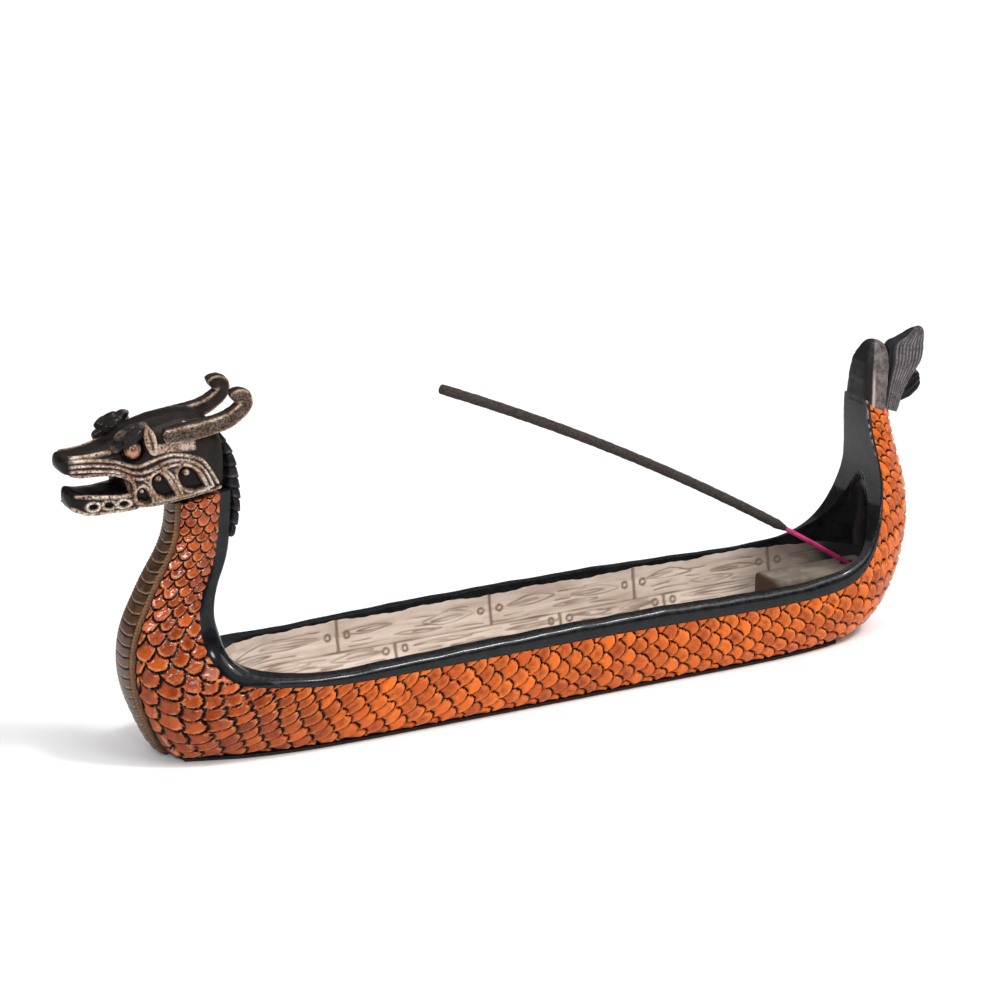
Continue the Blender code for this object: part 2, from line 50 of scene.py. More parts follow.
AFT_LIMIT = 126.5
HALF_BEAM = 21.24
HULL_BOTTOM = 1.1
FLOOR_TOP = 4.5
SIDE_LOW = 0.06
SIDE_HIGH = 0.5
LAST_BAND_STATION = 11.3
BAND_TIP_STATIONS = 3.0
NAPE_STATIONS = 9
POST_START_STATION = 29.5
PLATE_PITCH = 2.75
BEAD_PITCH = 0.9

# Hull stations: keel x, keel z, keel half width, half widths a little above
# the keel and at mid height, rim x, rim z, rim half width, rim moulding height
# and the radius of its outer corner.
STATIONS = np.array((
    (-95.6, 66.8, 3.6, 5.0, 6.4, -85.0, 68.2, 4.8, 3.6, 3.8),
    (-96.2, 60.0, 3.8, 5.4, 6.9, -85.8, 59.5, 5.0, 3.8, 4.0),
    (-98.4, 53.5, 4.1, 5.9, 7.5, -87.2, 52.0, 5.3, 4.0, 4.2),
    (-101.8, 47.8, 4.4, 6.4, 8.0, -89.4, 46.6, 5.7, 4.4, 4.6),
    (-104.9, 42.0, 4.7, 7.0, 8.8, -91.4, 41.8, 6.2, 4.8, 5.0),
    (-107.7, 36.0, 4.9, 7.6, 9.8, -92.3, 36.8, 6.9, 5.0, 5.2),
    (-109.2, 30.0, 4.9, 8.2, 11.0, -92.1, 32.0, 7.8, 5.2, 4.8),
    (-109.4, 24.0, 4.8, 8.8, 12.6, -91.2, 27.8, 9.3, 5.0, 4.0),
    (-108.4, 18.0, 4.6, 9.8, 14.4, -89.5, 24.3, 11.6, 4.5, 3.0),
    (-106.4, 12.0, 4.4, 10.8, 16.2, -87.0, 21.8, 14.2, 4.0, 2.2),
    (-103.8, 6.0, 4.6, 11.6, 17.6, -83.6, 20.6, 16.6, 3.3, 1.8),
    (-100.4, 1.8, 6.0, 12.2, 18.8, -79.3, 20.2, 18.5, 2.6, 1.6),
    (-94.0, 1.1, 9.0, 13.0, 19.8, -74.0, 19.7, 19.8, 2.5, 1.6),
    (-84.0, 1.1, 12.0, 14.6, 20.6, -67.5, 19.0, 20.6, 2.7, 1.6),
    (-72.0, 1.1, 14.2, 16.4, 21.0, -59.0, 18.4, 21.0, 3.0, 1.6),
    (-55.0, 1.1, 15.3, 17.4, 21.2, -46.0, 18.2, 21.2, 3.3, 1.6),
    (-25.0, 1.1, 15.5, 17.8, 21.3, -20.0, 18.3, 21.2, 3.5, 1.6),
    (10.0, 1.1, 15.5, 17.6, 21.0, 10.0, 18.2, 20.8, 3.8, 1.6),
    (45.0, 1.1, 15.4, 17.4, 20.9, 42.0, 17.8, 20.7, 4.1, 1.6),
    (68.0, 1.1, 15.2, 17.2, 20.8, 62.0, 17.4, 20.6, 4.1, 1.6),
    (80.0, 1.1, 14.3, 16.6, 20.3, 74.0, 17.3, 20.1, 4.1, 1.6),
    (89.0, 1.1, 12.9, 15.6, 19.6, 82.5, 17.4, 19.5, 4.2, 1.6),
    (96.5, 1.1, 10.6, 14.2, 18.8, 89.2, 17.9, 18.8, 4.2, 1.6),
    (103.0, 1.7, 7.2, 12.6, 17.8, 94.7, 19.2, 18.0, 3.8, 1.5),
    (108.3, 3.8, 4.2, 11.2, 16.6, 99.2, 21.8, 17.0, 3.0, 1.4),
    (112.8, 7.6, 2.2, 10.0, 15.2, 102.6, 25.6, 15.6, 2.0, 1.1),
    (116.6, 12.8, 1.0, 8.9, 13.6, 105.2, 30.2, 14.0, 1.3, 0.8),
    (119.3, 18.8, 0.5, 7.9, 12.3, 106.9, 35.2, 12.4, 0.9, 0.6),
    (121.0, 25.0, 0.4, 7.0, 11.1, 107.9, 39.6, 11.0, 0.8, 0.5),
    (121.6, 31.5, 0.4, 6.3, 10.0, 108.4, 43.6, 9.9, 0.8, 0.5),
    (121.2, 38.0, 0.4, 5.7, 8.9, 108.2, 47.2, 8.9, 0.8, 0.5),
    (119.8, 44.0, 0.4, 5.2, 7.9, 107.7, 51.0, 8.0, 0.8, 0.5),
    (117.9, 50.0, 0.4, 4.8, 7.1, 107.0, 55.2, 7.1, 0.8, 0.5),
    (116.2, 56.0, 0.4, 4.5, 6.5, 106.4, 60.0, 6.4, 0.8, 0.5),
    (115.0, 61.5, 0.4, 4.3, 6.0, 106.1, 65.5, 5.8, 0.8, 0.5),
))
# The hollow: height, bow end, half width and stern end of each level.
HOLLOW_LEVELS = np.array((
    (FLOOR_TOP, -79.0, 12.2, 104.0),
    (7.0, -81.0, 13.8, 107.0),
    (12.0, -82.5, 15.4, 109.6),
    (18.0, -83.3, 16.6, 110.8),
    (25.0, -83.5, 17.2, 111.0),
    (31.0, -83.5, 13.8, 110.6),
    (38.0, -83.5, 10.2, 109.6),
    (44.0, -83.0, 7.0, 107.6),
    (48.0, -83.0, 4.5, 105.2),
))
HOLLOW_BOW = (26.0, 2.2)
HOLLOW_STERN = (52.0, 4.0)
HULL_CUT_TOP = 48.0
RIM_CUT_TOP = 60.0
HULL_SET_BACK = 0.08

# Head slices: x, underside z, top z, half width; they are averaged over a short spread and their
# ends are rounded.
SLICE_SPREAD = 0.55
HEAD_END_ROUND = 1.6
SKULL_SLICES = np.array((
    (-126.5, 79.2, 82.2, 3.4),
    (-125.4, 78.3, 83.0, 4.2),
    (-121.6, 77.3, 82.8, 5.0),
    (-117.0, 77.1, 83.2, 5.7),
    (-112.5, 76.9, 84.4, 6.6),
    (-110.9, 75.4, 85.4, 7.2),
    (-109.6, 68.6, 86.4, 7.6),
    (-106.0, 67.6, 88.2, 8.0),
    (-101.0, 67.8, 89.4, 8.2),
    (-95.0, 68.3, 90.0, 8.1),
    (-90.0, 68.8, 89.6, 7.6),
    (-86.4, 69.1, 87.0, 6.6),
    (-83.6, 69.4, 82.0, 5.6),
))
JAW_SLICES = np.array((
    (-124.6, 69.8, 74.2, 3.4),
    (-123.0, 68.3, 74.0, 4.4),
    (-119.6, 67.1, 72.9, 5.1),
    (-115.5, 67.2, 72.6, 5.8),
    (-111.6, 67.5, 72.8, 6.8),
    (-108.6, 67.8, 72.9, 7.4),
    (-105.6, 68.6, 72.9, 6.6),
))
# Raised flowing lines on each side of the face, as x and z.
FACE_LINES = (
    ((-123.8, 82.4), (-120.9, 82.4), (-118.2, 82.5), (-115.6, 82.8), (-113.3, 83.3), (-111.9, 84.0)),
    ((-124.5, 81.6), (-121.0, 81.6), (-117.3, 81.4), (-114.2, 81.0), (-112.0, 80.4), (-109.7, 79.5),
     (-107.4, 79.2), (-105.5, 79.7), (-103.6, 80.3), (-100.8, 80.9), (-98.1, 80.9), (-95.1, 80.2),
     (-92.0, 79.0), (-89.8, 77.0), (-87.8, 74.0), (-86.2, 71.4)),
    ((-124.3, 80.4), (-120.7, 80.4), (-116.9, 80.1), (-113.5, 79.6), (-111.6, 79.0), (-109.8, 78.0),
     (-107.5, 77.5), (-105.2, 77.7), (-103.2, 78.4), (-100.9, 79.3), (-98.2, 79.6), (-95.1, 79.0),
     (-92.6, 77.8), (-90.6, 76.0), (-89.0, 73.6), (-87.5, 70.8)),
    ((-124.1, 79.2), (-120.7, 79.1), (-117.0, 78.8), (-113.6, 78.4), (-111.7, 77.7), (-109.8, 76.6),
     (-107.1, 75.9), (-104.6, 76.3), (-102.3, 77.5), (-99.8, 78.2), (-97.1, 78.3), (-94.4, 77.6),
     (-92.4, 76.2), (-90.9, 74.4), (-89.7, 72.2), (-88.5, 69.8)),
    ((-123.7, 78.0), (-121.4, 77.7), (-118.4, 77.7), (-115.4, 77.6), (-112.3, 77.1), (-109.9, 76.1),
     (-108.8, 74.3), (-108.8, 72.7), (-109.9, 71.8), (-113.3, 71.6), (-117.9, 71.9), (-122.8, 72.6)),
    ((-123.4, 69.6), (-121.4, 68.5), (-119.4, 67.9), (-114.2, 68.0), (-109.6, 68.3), (-105.7, 68.5),
     (-102.6, 68.2), (-98.8, 68.4), (-95.2, 68.9), (-91.5, 69.0), (-88.0, 69.3), (-84.2, 70.0)),
    ((-106.9, 74.4), (-105.6, 73.6), (-104.4, 71.6), (-103.7, 69.4)),
    ((-106.1, 75.2), (-105.0, 74.0), (-103.6, 71.4), (-102.6, 69.4)),
    ((-103.4, 77.2), (-101.2, 76.6), (-98.9, 73.6), (-97.0, 69.9)),
    ((-101.4, 77.7), (-99.4, 76.0), (-97.6, 73.0), (-96.0, 70.2)),
    ((-103.5, 69.3), (-100.0, 69.4), (-96.9, 69.6), (-93.4, 69.9), (-90.3, 70.4), (-87.5, 70.9)),
)
LINE_HEIGHT = 0.50
LINE_SPREAD = 0.36
# Sunk commas of the cheek and the holes of the jaw: outline and depth.
CHEEK_COMMAS = (
    ((-108.1, 71.4), (-108.0, 72.8), (-107.1, 73.6), (-106.0, 72.9), (-105.1, 71.2), (-104.4, 69.4),
     (-106.2, 69.5), (-107.6, 70.1)),
    ((-104.5, 75.0), (-103.9, 76.4), (-102.3, 76.5), (-100.7, 74.8), (-99.2, 72.2), (-98.1, 70.0),
     (-100.4, 70.0), (-102.8, 71.4), (-104.2, 73.4)),
    ((-97.6, 75.6), (-96.7, 77.2), (-94.6, 77.1), (-92.6, 75.4), (-91.0, 72.8), (-89.8, 70.6),
     (-92.0, 70.6), (-94.6, 71.2), (-96.6, 73.0)),
)
COMMA_DEPTH = 1.5
COMMA_BULBS = ((-107.0, 72.7, 0.60), (-102.7, 75.4, 0.90), (-95.3, 75.9, 1.05))
JAW_HOLES = ((-118.7, 69.7), (-114.9, 69.8), (-111.4, 69.9))
SKULL_MOUTH = 77.6
JAW_MOUTH = 71.8
EYE = (-109.0, 7.2, 83.4)
EYE_RADIUS = 2.1
EYE_SOCKET = 3.3
BROW = (-109.2, 5.5, 86.2)
BROW_RADII = (4.8, 3.0, 3.0)
BROW_TILT = math.radians(-24)
EAR = (-104.5, 7.9, 85.4)
EAR_RADII = (1.5, 1.2, 4.2)
EAR_TILT = math.radians(-14)
HORN_OUT = 7.0
HORN_PATH = np.array((
    (-100.8, 85.6, 1.9), (-98.2, 85.7, 2.2), (-93.0, 86.1, 2.3), (-87.5, 86.8, 2.2),
    (-84.0, 87.6, 2.2), (-81.6, 88.8, 2.1), (-79.6, 90.4, 2.0), (-79.0, 92.0, 1.9),
    (-79.8, 93.2, 1.95), (-81.4, 93.3, 2.0), (-82.6, 92.7, 1.9),
))
MANE_SLICES = np.array((
    (-86.4, 84.9, -85.0, 85.6), (-85.6, 81.6, -83.0, 82.3), (-83.4, 77.6, -80.6, 78.0),
    (-82.9, 73.0, -79.3, 73.0), (-82.7, 69.5, -78.8, 68.7), (-81.6, 65.5, -78.8, 64.7),
    (-82.0, 60.5, -79.5, 59.8), (-83.2, 56.0, -81.1, 55.2),
))
MANE_HALF_WIDTH = 4.2
MANE_TEETH = 10
MANE_AFT_LIMIT = -78.2

# Tail lobes: fore point, aft point and half width of each slice, root to tip.
TAIL_FORE = np.array((
    (105.0, 64.2, 111.9, 61.9, 5.8), (105.0, 66.2, 112.1, 63.4, 5.9), (105.2, 71.5, 112.9, 69.5, 5.3),
    (105.9, 76.0, 113.5, 74.5, 4.5), (107.4, 79.3, 113.5, 78.3, 3.0), (109.0, 81.4, 112.3, 80.8, 1.4),
))
TAIL_MAIN = np.array((
    (111.5, 62.4, 117.3, 60.3, 4.2), (113.0, 69.3, 121.0, 68.0, 3.4), (114.0, 75.0, 125.3, 73.0, 2.7),
    (114.4, 79.2, 126.4, 78.0, 2.3), (118.4, 80.8, 126.4, 81.0, 1.9), (122.2, 82.7, 125.8, 83.2, 1.2),
))
TAIL_LOWER = np.array((
    (118.4, 64.2, 117.6, 61.6, 1.6), (121.4, 68.1, 122.8, 62.9, 1.8), (124.6, 70.4, 125.8, 64.9, 1.7),
    (126.2, 69.2, 126.4, 66.8, 1.0),
))

# Stick, socket and block.
SOCKET_MOUTH = np.array((103.6, 18.3))
SOCKET_ANGLE = math.radians(33.5)
SOCKET_DEPTH = 5.2
SOCKET_RADIUS = 1.1
BLOCK_FRONT = 77.2
BLOCK_BACK = 110.0
BLOCK_HALF_WIDTH = 5.6
BLOCK_TOP = 18.3
CORE_RADIUS = 0.65
COAT_RADIUS = 1.35
STICK_LENGTH = 147.0
STICK_BEND = math.radians(11.0)
STRAIGHT_FOOT = 7.0
BARE_CORE = 29.0

# Scale pattern: rows of round scales, each row half a scale off the last.
SCALE_COLUMNS = 3.2
WIDEST_SCALE = 6.0
COLUMN_START = 40.2
ROW_SHARE = 0.60
SCALE_REACH = 1.14
FARTHEST_REACH = 1.3
USUAL_RADIUS = 2.75
SAMPLES_PER_ROW = 8
SIDE_SAMPLES = 54
RELIEF_TOP = 0.36

# The glaze turns darker and a little redder towards the bow, the darkening partly painted shade, and
# glossier up the neck.
NECK_START = -46.0
NECK_FADE = 42.0
GLOSS_LOW = 20.0
GLOSS_RISE = 26.0
NECK_RUN = 110.0

# Camera: what it looks at and its distance, in metres, its turn from the left side, its height as
# an angle, and its lens in millimetres.
CAMERA_TARGET = (-0.004203, 0.0, 0.052537)
CAMERA_AWAY = 0.933882
CAMERA_TURN = math.radians(-28.0)
CAMERA_LIFT = math.radians(18.0)
CAMERA_LENS = 129.47

# Planks: top of the boards and how far they run on above it, how far they stand out of the wall
# and the floor, the spread of their cut lines, seams as a distance down the wall and over the
# floor, and the end joints of each board as x.
PLANK_TOP = 19.4
PLANK_RISE = 1.2
BOARD_PROUD = 0.20
BOARD_LIFT = 0.15
BOARD_BACK = 0.3
WALL_POINTS = 345
BOARDS_START = -80.0
FLOOR_MIDDLE = 2.2
CUT_DEPTH = 0.13
FLOOR_CUT_DEPTH = 0.14
SEAM_SPREAD = 0.32
JOINT_SPREAD = 0.52
GRAIN_SPREAD = 0.27
NAIL_FROM_END = 2.8
NAIL_RADIUS = 0.80
PLANK_SEAMS = np.array((0.0, 7.1, 11.5, 15.6, 19.8, 24.0, 29.0))
PLANK_JOINTS = (
    (-120.0, -44.0, 1.2, 45.4, 88.0, 140.0),
    (-120.0, -72.0, -27.7, 21.9, 54.3, 140.0),
    (-120.0, -52.0, -4.0, 40.0, 82.0, 140.0),
    (-120.0, -60.0, -18.0, 30.0, 70.0, 140.0),
    (-120.0, -40.0, 12.0, 58.0, 140.0),
    (-120.0, -62.0, -10.0, 36.0, 84.0, 140.0),
)
# Grain drawn on each board: start and end as shares of its length, half height and middle as
# shares of its height.
GRAIN_LENSES = ((0.07, 0.44, 0.15, -0.20), (0.34, 0.70, 0.12, 0.22), (0.56, 0.94, 0.16, -0.08),
                (0.13, 0.38, 0.045, -0.19), (0.62, 0.88, 0.05, -0.06), (0.06, 0.36, 0.0, 0.33),
                (0.38, 0.62, 0.0, -0.28), (0.66, 0.90, 0.0, 0.36), (0.40, 0.55, 0.0, 0.02),
                (0.12, 0.30, 0.0, 0.16), (0.45, 0.64, 0.035, 0.22), (0.70, 0.92, 0.0, -0.34))


def cubic(knots, values, wanted):
    """Natural cubic spline: between two knots the curve is a cubic whose bend changes evenly."""
    steps = np.diff(knots)
    count = len(knots)
    system = np.eye(count)
    right = np.zeros((count, values.shape[1]))
    slopes = np.diff(values, axis=0) / steps[:, None]
    for row in range(1, count - 1):
        system[row, row - 1] = steps[row - 1]
        system[row, row] = 2 * (steps[row - 1] + steps[row])
        system[row, row + 1] = steps[row]
        right[row] = 6 * (slopes[row] - slopes[row - 1])
    bend = np.linalg.solve(system, right)
    span = np.clip(np.searchsorted(knots, wanted) - 1, 0, count - 2)
    step = steps[span][:, None]
    after = (wanted - knots[span])[:, None]
    before = step - after
    return ((bend[span] * before ** 3 + bend[span + 1] * after ** 3) / (6 * step)
            + (values[span] / step - bend[span] * step / 6) * before
            + (values[span + 1] / step - bend[span + 1] * step / 6) * after)


def through(points, count):
    """A smooth line through the points, read at even steps of its own knots."""
    points = np.asarray(points, float)
    knots = np.arange(len(points), dtype=float)
    return cubic(knots, points, np.linspace(0.0, knots[-1], count))


def smooth(value):
    """Eases from 0 to 1: three squares less two cubes."""
    value = np.clip(value, 0.0, 1.0)
    return value * value * (3 - 2 * value)


def bell(distance, spread):
    """A bell curve, 1 at no distance."""
    return np.exp(-(distance / spread) ** 2)


def chance(row, column, seed):
    """A steady random share for each pair of whole numbers: the broken part of a large sine."""
    value = np.sin(row * 12.9898 + column * 78.233 + seed * 37.719) * 43758.5453
    return value - np.floor(value)


def ripple(a, b, seed):
    """Gentle unevenness from -1 to 1: the mean of four slanting sine waves."""
    return (np.sin(a + 0.7 * b + seed) + np.sin(0.37 * a - 1.3 * b + 1.7 * seed)
            + np.sin(-1.9 * a + 0.53 * b + 2.9 * seed) + np.sin(1.3 * a + 2.1 * b - seed)) / 4


def turns(count):
    """Angles once round, as a row."""
    return np.linspace(0.0, 2 * math.pi, count, endpoint=False)[None, :]


def squared_off(wave, power):
    """A wave that keeps its sign while its size is raised to a power: it squares off an oval."""
    return np.sign(wave) * np.abs(wave) ** power


def round_end(way, least):
    """Size near a form's end: a quarter ellipse that is full where way is 1."""
    return np.sqrt(np.clip(1 - (1 - way).clip(0) ** 2, least, 1.0))


def way_along(line):
    """Distance travelled along a line at each of its points."""
    return np.concatenate(([0.0], np.cumsum(np.linalg.norm(np.diff(line, axis=0), axis=1))))


def stood_up(spot, y):
    """Points from pairs of x and z and their y."""
    return np.stack((spot[..., 0], np.broadcast_to(y, spot.shape[:-1]), spot[..., 1]), -1)


def line_distance(x, z, path, count=40):
    """Distance to a smooth line: the nearest point of each of its short straight steps."""
    line = through(path, count)
    start, run = line[:-1], np.diff(line, axis=0)
    flat = np.stack((x.ravel(), z.ravel()), -1)[:, None, :]
    share = np.clip(((flat - start) * run).sum(-1) / (run ** 2).sum(-1), 0.0, 1.0)
    away = flat - start - share[..., None] * run
    return np.sqrt((away ** 2).sum(-1)).min(1).reshape(x.shape)


def inside_depth(x, z, outline):
    """Signed distance to a closed smooth outline, above 0 inside it, by counting crossings."""
    loop = through(tuple(outline) + (outline[0],), 48)
    a, b = loop[:-1], loop[1:]
    px, pz = x.ravel()[:, None], z.ravel()[:, None]
    spans = (a[:, 1] > pz) != (b[:, 1] > pz)
    rise = np.where(np.abs(b[:, 1] - a[:, 1]) < 1e-9, 1e-9, b[:, 1] - a[:, 1])
    crossings = (spans & (px < (b[:, 0] - a[:, 0]) * (pz - a[:, 1]) / rise + a[:, 0])).sum(1)
    sign = np.where(crossings.reshape(x.shape) % 2 == 1, 1.0, -1.0)
    return sign * line_distance(x, z, loop, 96)


def outward(points):
    """Unit normals of a grid whose columns go round: the cross product of its two slopes, turned
    so that on average they point away from the middle of each row."""
    across = (np.roll(points, -1, 1) - np.roll(points, 1, 1)) / 2
    normal = np.cross(np.gradient(points, axis=0), across)
    normal /= np.maximum(np.linalg.norm(normal, axis=2, keepdims=True), 1e-9)
    away = points - points.mean(1, keepdims=True)
    if (normal * away).sum() < 0:
        normal = -normal
    return normal


def capped(points, marks, last_cap):
    """Adds a row at each end with every point in its middle, so the ends are closed.  The last end
    is left alone where the grid already closes on a line."""
    def pole(row):
        return np.repeat(row.mean(1, keepdims=True), row.shape[1], axis=1)
    ends = (pole(points[-1:]),) if last_cap else ()
    closed = np.concatenate((pole(points[:1]), points) + ends)
    closed_marks = {}
    for name, value in marks.items():
        value = np.broadcast_to(value, points.shape[:2])
        closed_marks[name] = np.concatenate((value[:1], value) + ((value[-1:],) if last_cap else ()))
    return closed, closed_marks


def grid_faces(rows, columns):
    """Corner numbers of the quads of a grid whose columns go round."""
    a, b = np.meshgrid(np.arange(rows - 1), np.arange(columns), indexing="ij")
    after = (b + 1) % columns
    return np.stack((a * columns + b, a * columns + after,
                     (a + 1) * columns + after, (a + 1) * columns + b), -1).reshape(-1, 4)


def surface(name, points, marks=None, sharp=55, last_cap=True):
    """A closed mesh object from a grid in millimetres whose columns go round, with one number
    per point for each mark.  Doubled points at the poles are merged and the faces turned out."""
    points, marks = capped(points, marks or {}, last_cap)
    rows, columns = points.shape[:2]
    faces = grid_faces(rows, columns)
    mesh = bpy.data.meshes.new(name)
    mesh.vertices.add(rows * columns)
    mesh.vertices.foreach_set("co", (points * MM).astype(np.float32).ravel())
    mesh.loops.add(faces.size)
    mesh.loops.foreach_set("vertex_index", faces.astype(np.int32).ravel())
    mesh.polygons.add(len(faces))
    mesh.polygons.foreach_set("loop_start", np.arange(0, faces.size, 4, dtype=np.int32))
    mesh.update(calc_edges=True)
    for mark, value in marks.items():
        held = mesh.attributes.new(mark, "FLOAT", "POINT")
        held.data.foreach_set("value", value.astype(np.float32).ravel())
    bm = bmesh.new()
    bm.from_mesh(mesh)
    bmesh.ops.remove_doubles(bm, verts=bm.verts, dist=2e-6)
    bmesh.ops.dissolve_degenerate(bm, edges=bm.edges, dist=1e-7)
    bmesh.ops.recalc_face_normals(bm, faces=bm.faces)
    bm.to_mesh(mesh)
    bm.free()
    mesh.shade_smooth()
    mesh.set_sharp_from_angle(angle=math.radians(sharp))
    made = bpy.data.objects.new(name, mesh)
    bpy.context.scene.collection.objects.link(made)
    return made


def carve(piece, cutter, cut_finish, sharp=55):
    """Takes the cutter's shape out of a piece; the cut faces get a finish of their own."""
    cutter.data.materials.append(cut_finish)
    step = piece.modifiers.new("hollow", "BOOLEAN")
    step.object = cutter
    step.operation = "DIFFERENCE"
    step.solver = "EXACT"
    step.material_mode = "TRANSFER"
    depsgraph = bpy.context.evaluated_depsgraph_get()
    carved = bpy.data.meshes.new_from_object(piece.evaluated_get(depsgraph))
    piece.modifiers.clear()
    piece.data = carved
    carved.name = piece.name
    carved.set_sharp_from_angle(angle=math.radians(sharp))
    bpy.data.objects.remove(cutter, do_unlink=True)


def settle(piece, finish, slot, body, *nodes):
    """Gives a piece its finish, sets it on its body and hides what it stands for.  slot is not used."""
    if not piece.data.materials:
        piece.data.materials.append(finish)
    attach(piece, body)
    if nodes:
        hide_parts(*nodes)
    return piece


# ---------------------------------------------------------------- finishes

def new_finish(name, roughness, metallic=0.0, coat=0.0, coat_roughness=0.1, specular=0.5):
    """A material with its shader's even values set; colour, roughness and bump are linked later."""
    made = bpy.data.materials.new(name)
    made.use_nodes = True
    shader = made.node_tree.nodes["Principled BSDF"]
    shader.inputs["Roughness"].default_value = roughness
    shader.inputs["Metallic"].default_value = metallic
    shader.inputs["Coat Weight"].default_value = coat
    shader.inputs["Coat Roughness"].default_value = coat_roughness
    shader.inputs["Specular IOR Level"].default_value = specular
    return made, made.node_tree, shader


def feed(tree, socket, value):
    """Sets a socket to a number or colour, or links it to another socket."""
    if isinstance(value, bpy.types.NodeSocket):
        tree.links.new(value, socket)
    elif isinstance(value, tuple):
        socket.default_value = (*value, 1.0)
    else:
        socket.default_value = value


def mark_of(tree, name):
    """The number that the mesh keeps at each point under this name."""
    node = tree.nodes.new("ShaderNodeAttribute")
    node.attribute_name = name
    return node.outputs["Fac"]


def place_of(tree):
    """Object coordinates in metres."""
    return tree.nodes.new("ShaderNodeTexCoord").outputs["Object"]


def speckle(tree, size, detail=4.0, roughness=0.55, stretch=(1.0, 1.0, 1.0), offset=0.0):
    """Cloudy noise with spots of about this size in millimetres, stretched along the axes."""
    mapping = tree.nodes.new("ShaderNodeMapping")
    mapping.inputs["Location"].default_value = (offset, offset * 0.7, offset * 1.3)
    mapping.inputs["Scale"].default_value = stretch
    tree.links.new(place_of(tree), mapping.inputs["Vector"])
    noise = tree.nodes.new("ShaderNodeTexNoise")
    noise.inputs["Scale"].default_value = 1.0 / (size * MM)
    noise.inputs["Detail"].default_value = detail
    noise.inputs["Roughness"].default_value = roughness
    tree.links.new(mapping.outputs["Vector"], noise.inputs["Vector"])
    return noise.outputs["Fac"]


def plus(tree, a, b, operation="ADD"):
    """Two numbers added, or joined by another operation."""
    node = tree.nodes.new("ShaderNodeMath")
    node.operation = operation
    feed(tree, node.inputs[0], a)
    feed(tree, node.inputs[1], b)
    return node.outputs[0]


def times(tree, a, b):
    """Two numbers multiplied."""
    return plus(tree, a, b, "MULTIPLY")


def span(tree, value, low, high, to_low=0.0, to_high=1.0):
    """Eases a value between two limits into another range."""
    node = tree.nodes.new("ShaderNodeMapRange")
    node.interpolation_type = "SMOOTHSTEP"
    for socket, number in zip(node.inputs[1:5], (low, high, to_low, to_high)):
        socket.default_value = number
    feed(tree, node.inputs[0], value)
    return node.outputs[0]


def mixed(tree, share, a, b):
    """Mixes two colours by a share."""
    node = tree.nodes.new("ShaderNodeMix")
    node.data_type = "RGBA"
    feed(tree, node.inputs["Factor"], share)
    colours = [socket for socket in node.inputs if socket.type == "RGBA"]
    feed(tree, colours[0], a)
    feed(tree, colours[1], b)
    return next(socket for socket in node.outputs if socket.type == "RGBA")


def clouded(tree, noise, a, b):
    """Two colours that drift into each other with a noise."""
    return mixed(tree, span(tree, noise, 0.3, 0.7), a, b)


def dress(tree, shader, colour, noise, smoothest, roughest):
    """Links the colour, and a roughness that follows a noise."""
    tree.links.new(colour, shader.inputs["Base Color"])
    tree.links.new(span(tree, noise, 0.3, 0.7, smoothest, roughest), shader.inputs["Roughness"])


def raise_bump(tree, shader, height, distance, strength=1.0, base=None):
    """Roughens the surface by a height in millimetres."""
    node = tree.nodes.new("ShaderNodeBump")
    node.inputs["Distance"].default_value = distance * MM
    node.inputs["Strength"].default_value = strength
    feed(tree, node.inputs["Height"], height)
    if base is not None:
        tree.links.new(base, node.inputs["Normal"])
    tree.links.new(node.outputs["Normal"], shader.inputs["Normal"])


def along(tree, axis):
    """One axis of the object's coordinates, in metres."""
    node = tree.nodes.new("ShaderNodeSeparateXYZ")
    tree.links.new(place_of(tree), node.inputs[0])
    return node.outputs[axis]


def scale_glaze():
    """Glossy orange-brown glaze: darker and redder on the neck, the darkening partly painted shade; dark in
    the creases; brown smudges and painted shade at the base of the scales; a painted highlight on the scale
    edges.
    """
    made, tree, shader = new_finish("scale_glaze", 0.28, coat_roughness=0.11, specular=0.16)
    neck = mark_of(tree, "neck")
    gloss = span(tree, mark_of(tree, "gloss"), 0.0, 1.0, 0.14, 0.85)
    tree.links.new(gloss, shader.inputs["Coat Weight"])
    cloud = speckle(tree, 4.0, 5.0)
    # Painted shade in part: the neck's colours are darker than the hull's because its side is turned from
    # the light; its slightly redder hue is the glaze's own.
    bright = mixed(tree, neck, (0.78, 0.158, 0.011), (0.45, 0.078, 0.008))
    deep = mixed(tree, neck, (0.48, 0.074, 0.004), (0.19, 0.024, 0.003))
    tone = plus(tree, times(tree, mark_of(tree, "tone"), 0.34), times(tree, cloud, 0.8))
    colour = mixed(tree, span(tree, tone, 0.28, 0.86), deep, bright)
    blotch = span(tree, speckle(tree, 1.3, 3.0), 0.30, 0.55, 0.25, 1.0)
    # Brown smudges on some scales, and painted shade darkening the base of every scale where the one above
    # overlaps it.
    smudge_and_shade_patch = times(tree, mark_of(tree, "smudge_and_base_shade"), blotch)
    colour = mixed(tree, times(tree, smudge_and_shade_patch, 0.70), colour, (0.095, 0.018, 0.004))
    # Painted highlight: the free edge of each scale is lightened to pale orange, broken up by a noise, and
    # more so on the neck where the glints fall.
    worn = span(tree, speckle(tree, 1.6, 3.0, offset=0.31), 0.40, 0.62)
    lip = times(tree, mark_of(tree, "lip"), worn)
    lip = times(tree, lip, span(tree, neck, 0.0, 1.0, 0.35, 0.55))
    colour = mixed(tree, lip, colour, (0.80, 0.33, 0.12))
    deeper = times(tree, mark_of(tree, "crease"), span(tree, neck, 0.0, 1.0, 1.0, 1.7))
    crease = span(tree, deeper, 0.16, 0.62)
    colour = mixed(tree, crease, colour, (0.010, 0.003, 0.001))
    tree.links.new(colour, shader.inputs["Base Color"])
    rough = plus(tree, span(tree, cloud, 0.3, 0.7, 0.18, 0.34), times(tree, crease, 0.4))
    tree.links.new(rough, shader.inputs["Roughness"])
    raise_bump(tree, shader, speckle(tree, 0.9, 4.0, offset=0.1), 0.12, 0.6)
    return made


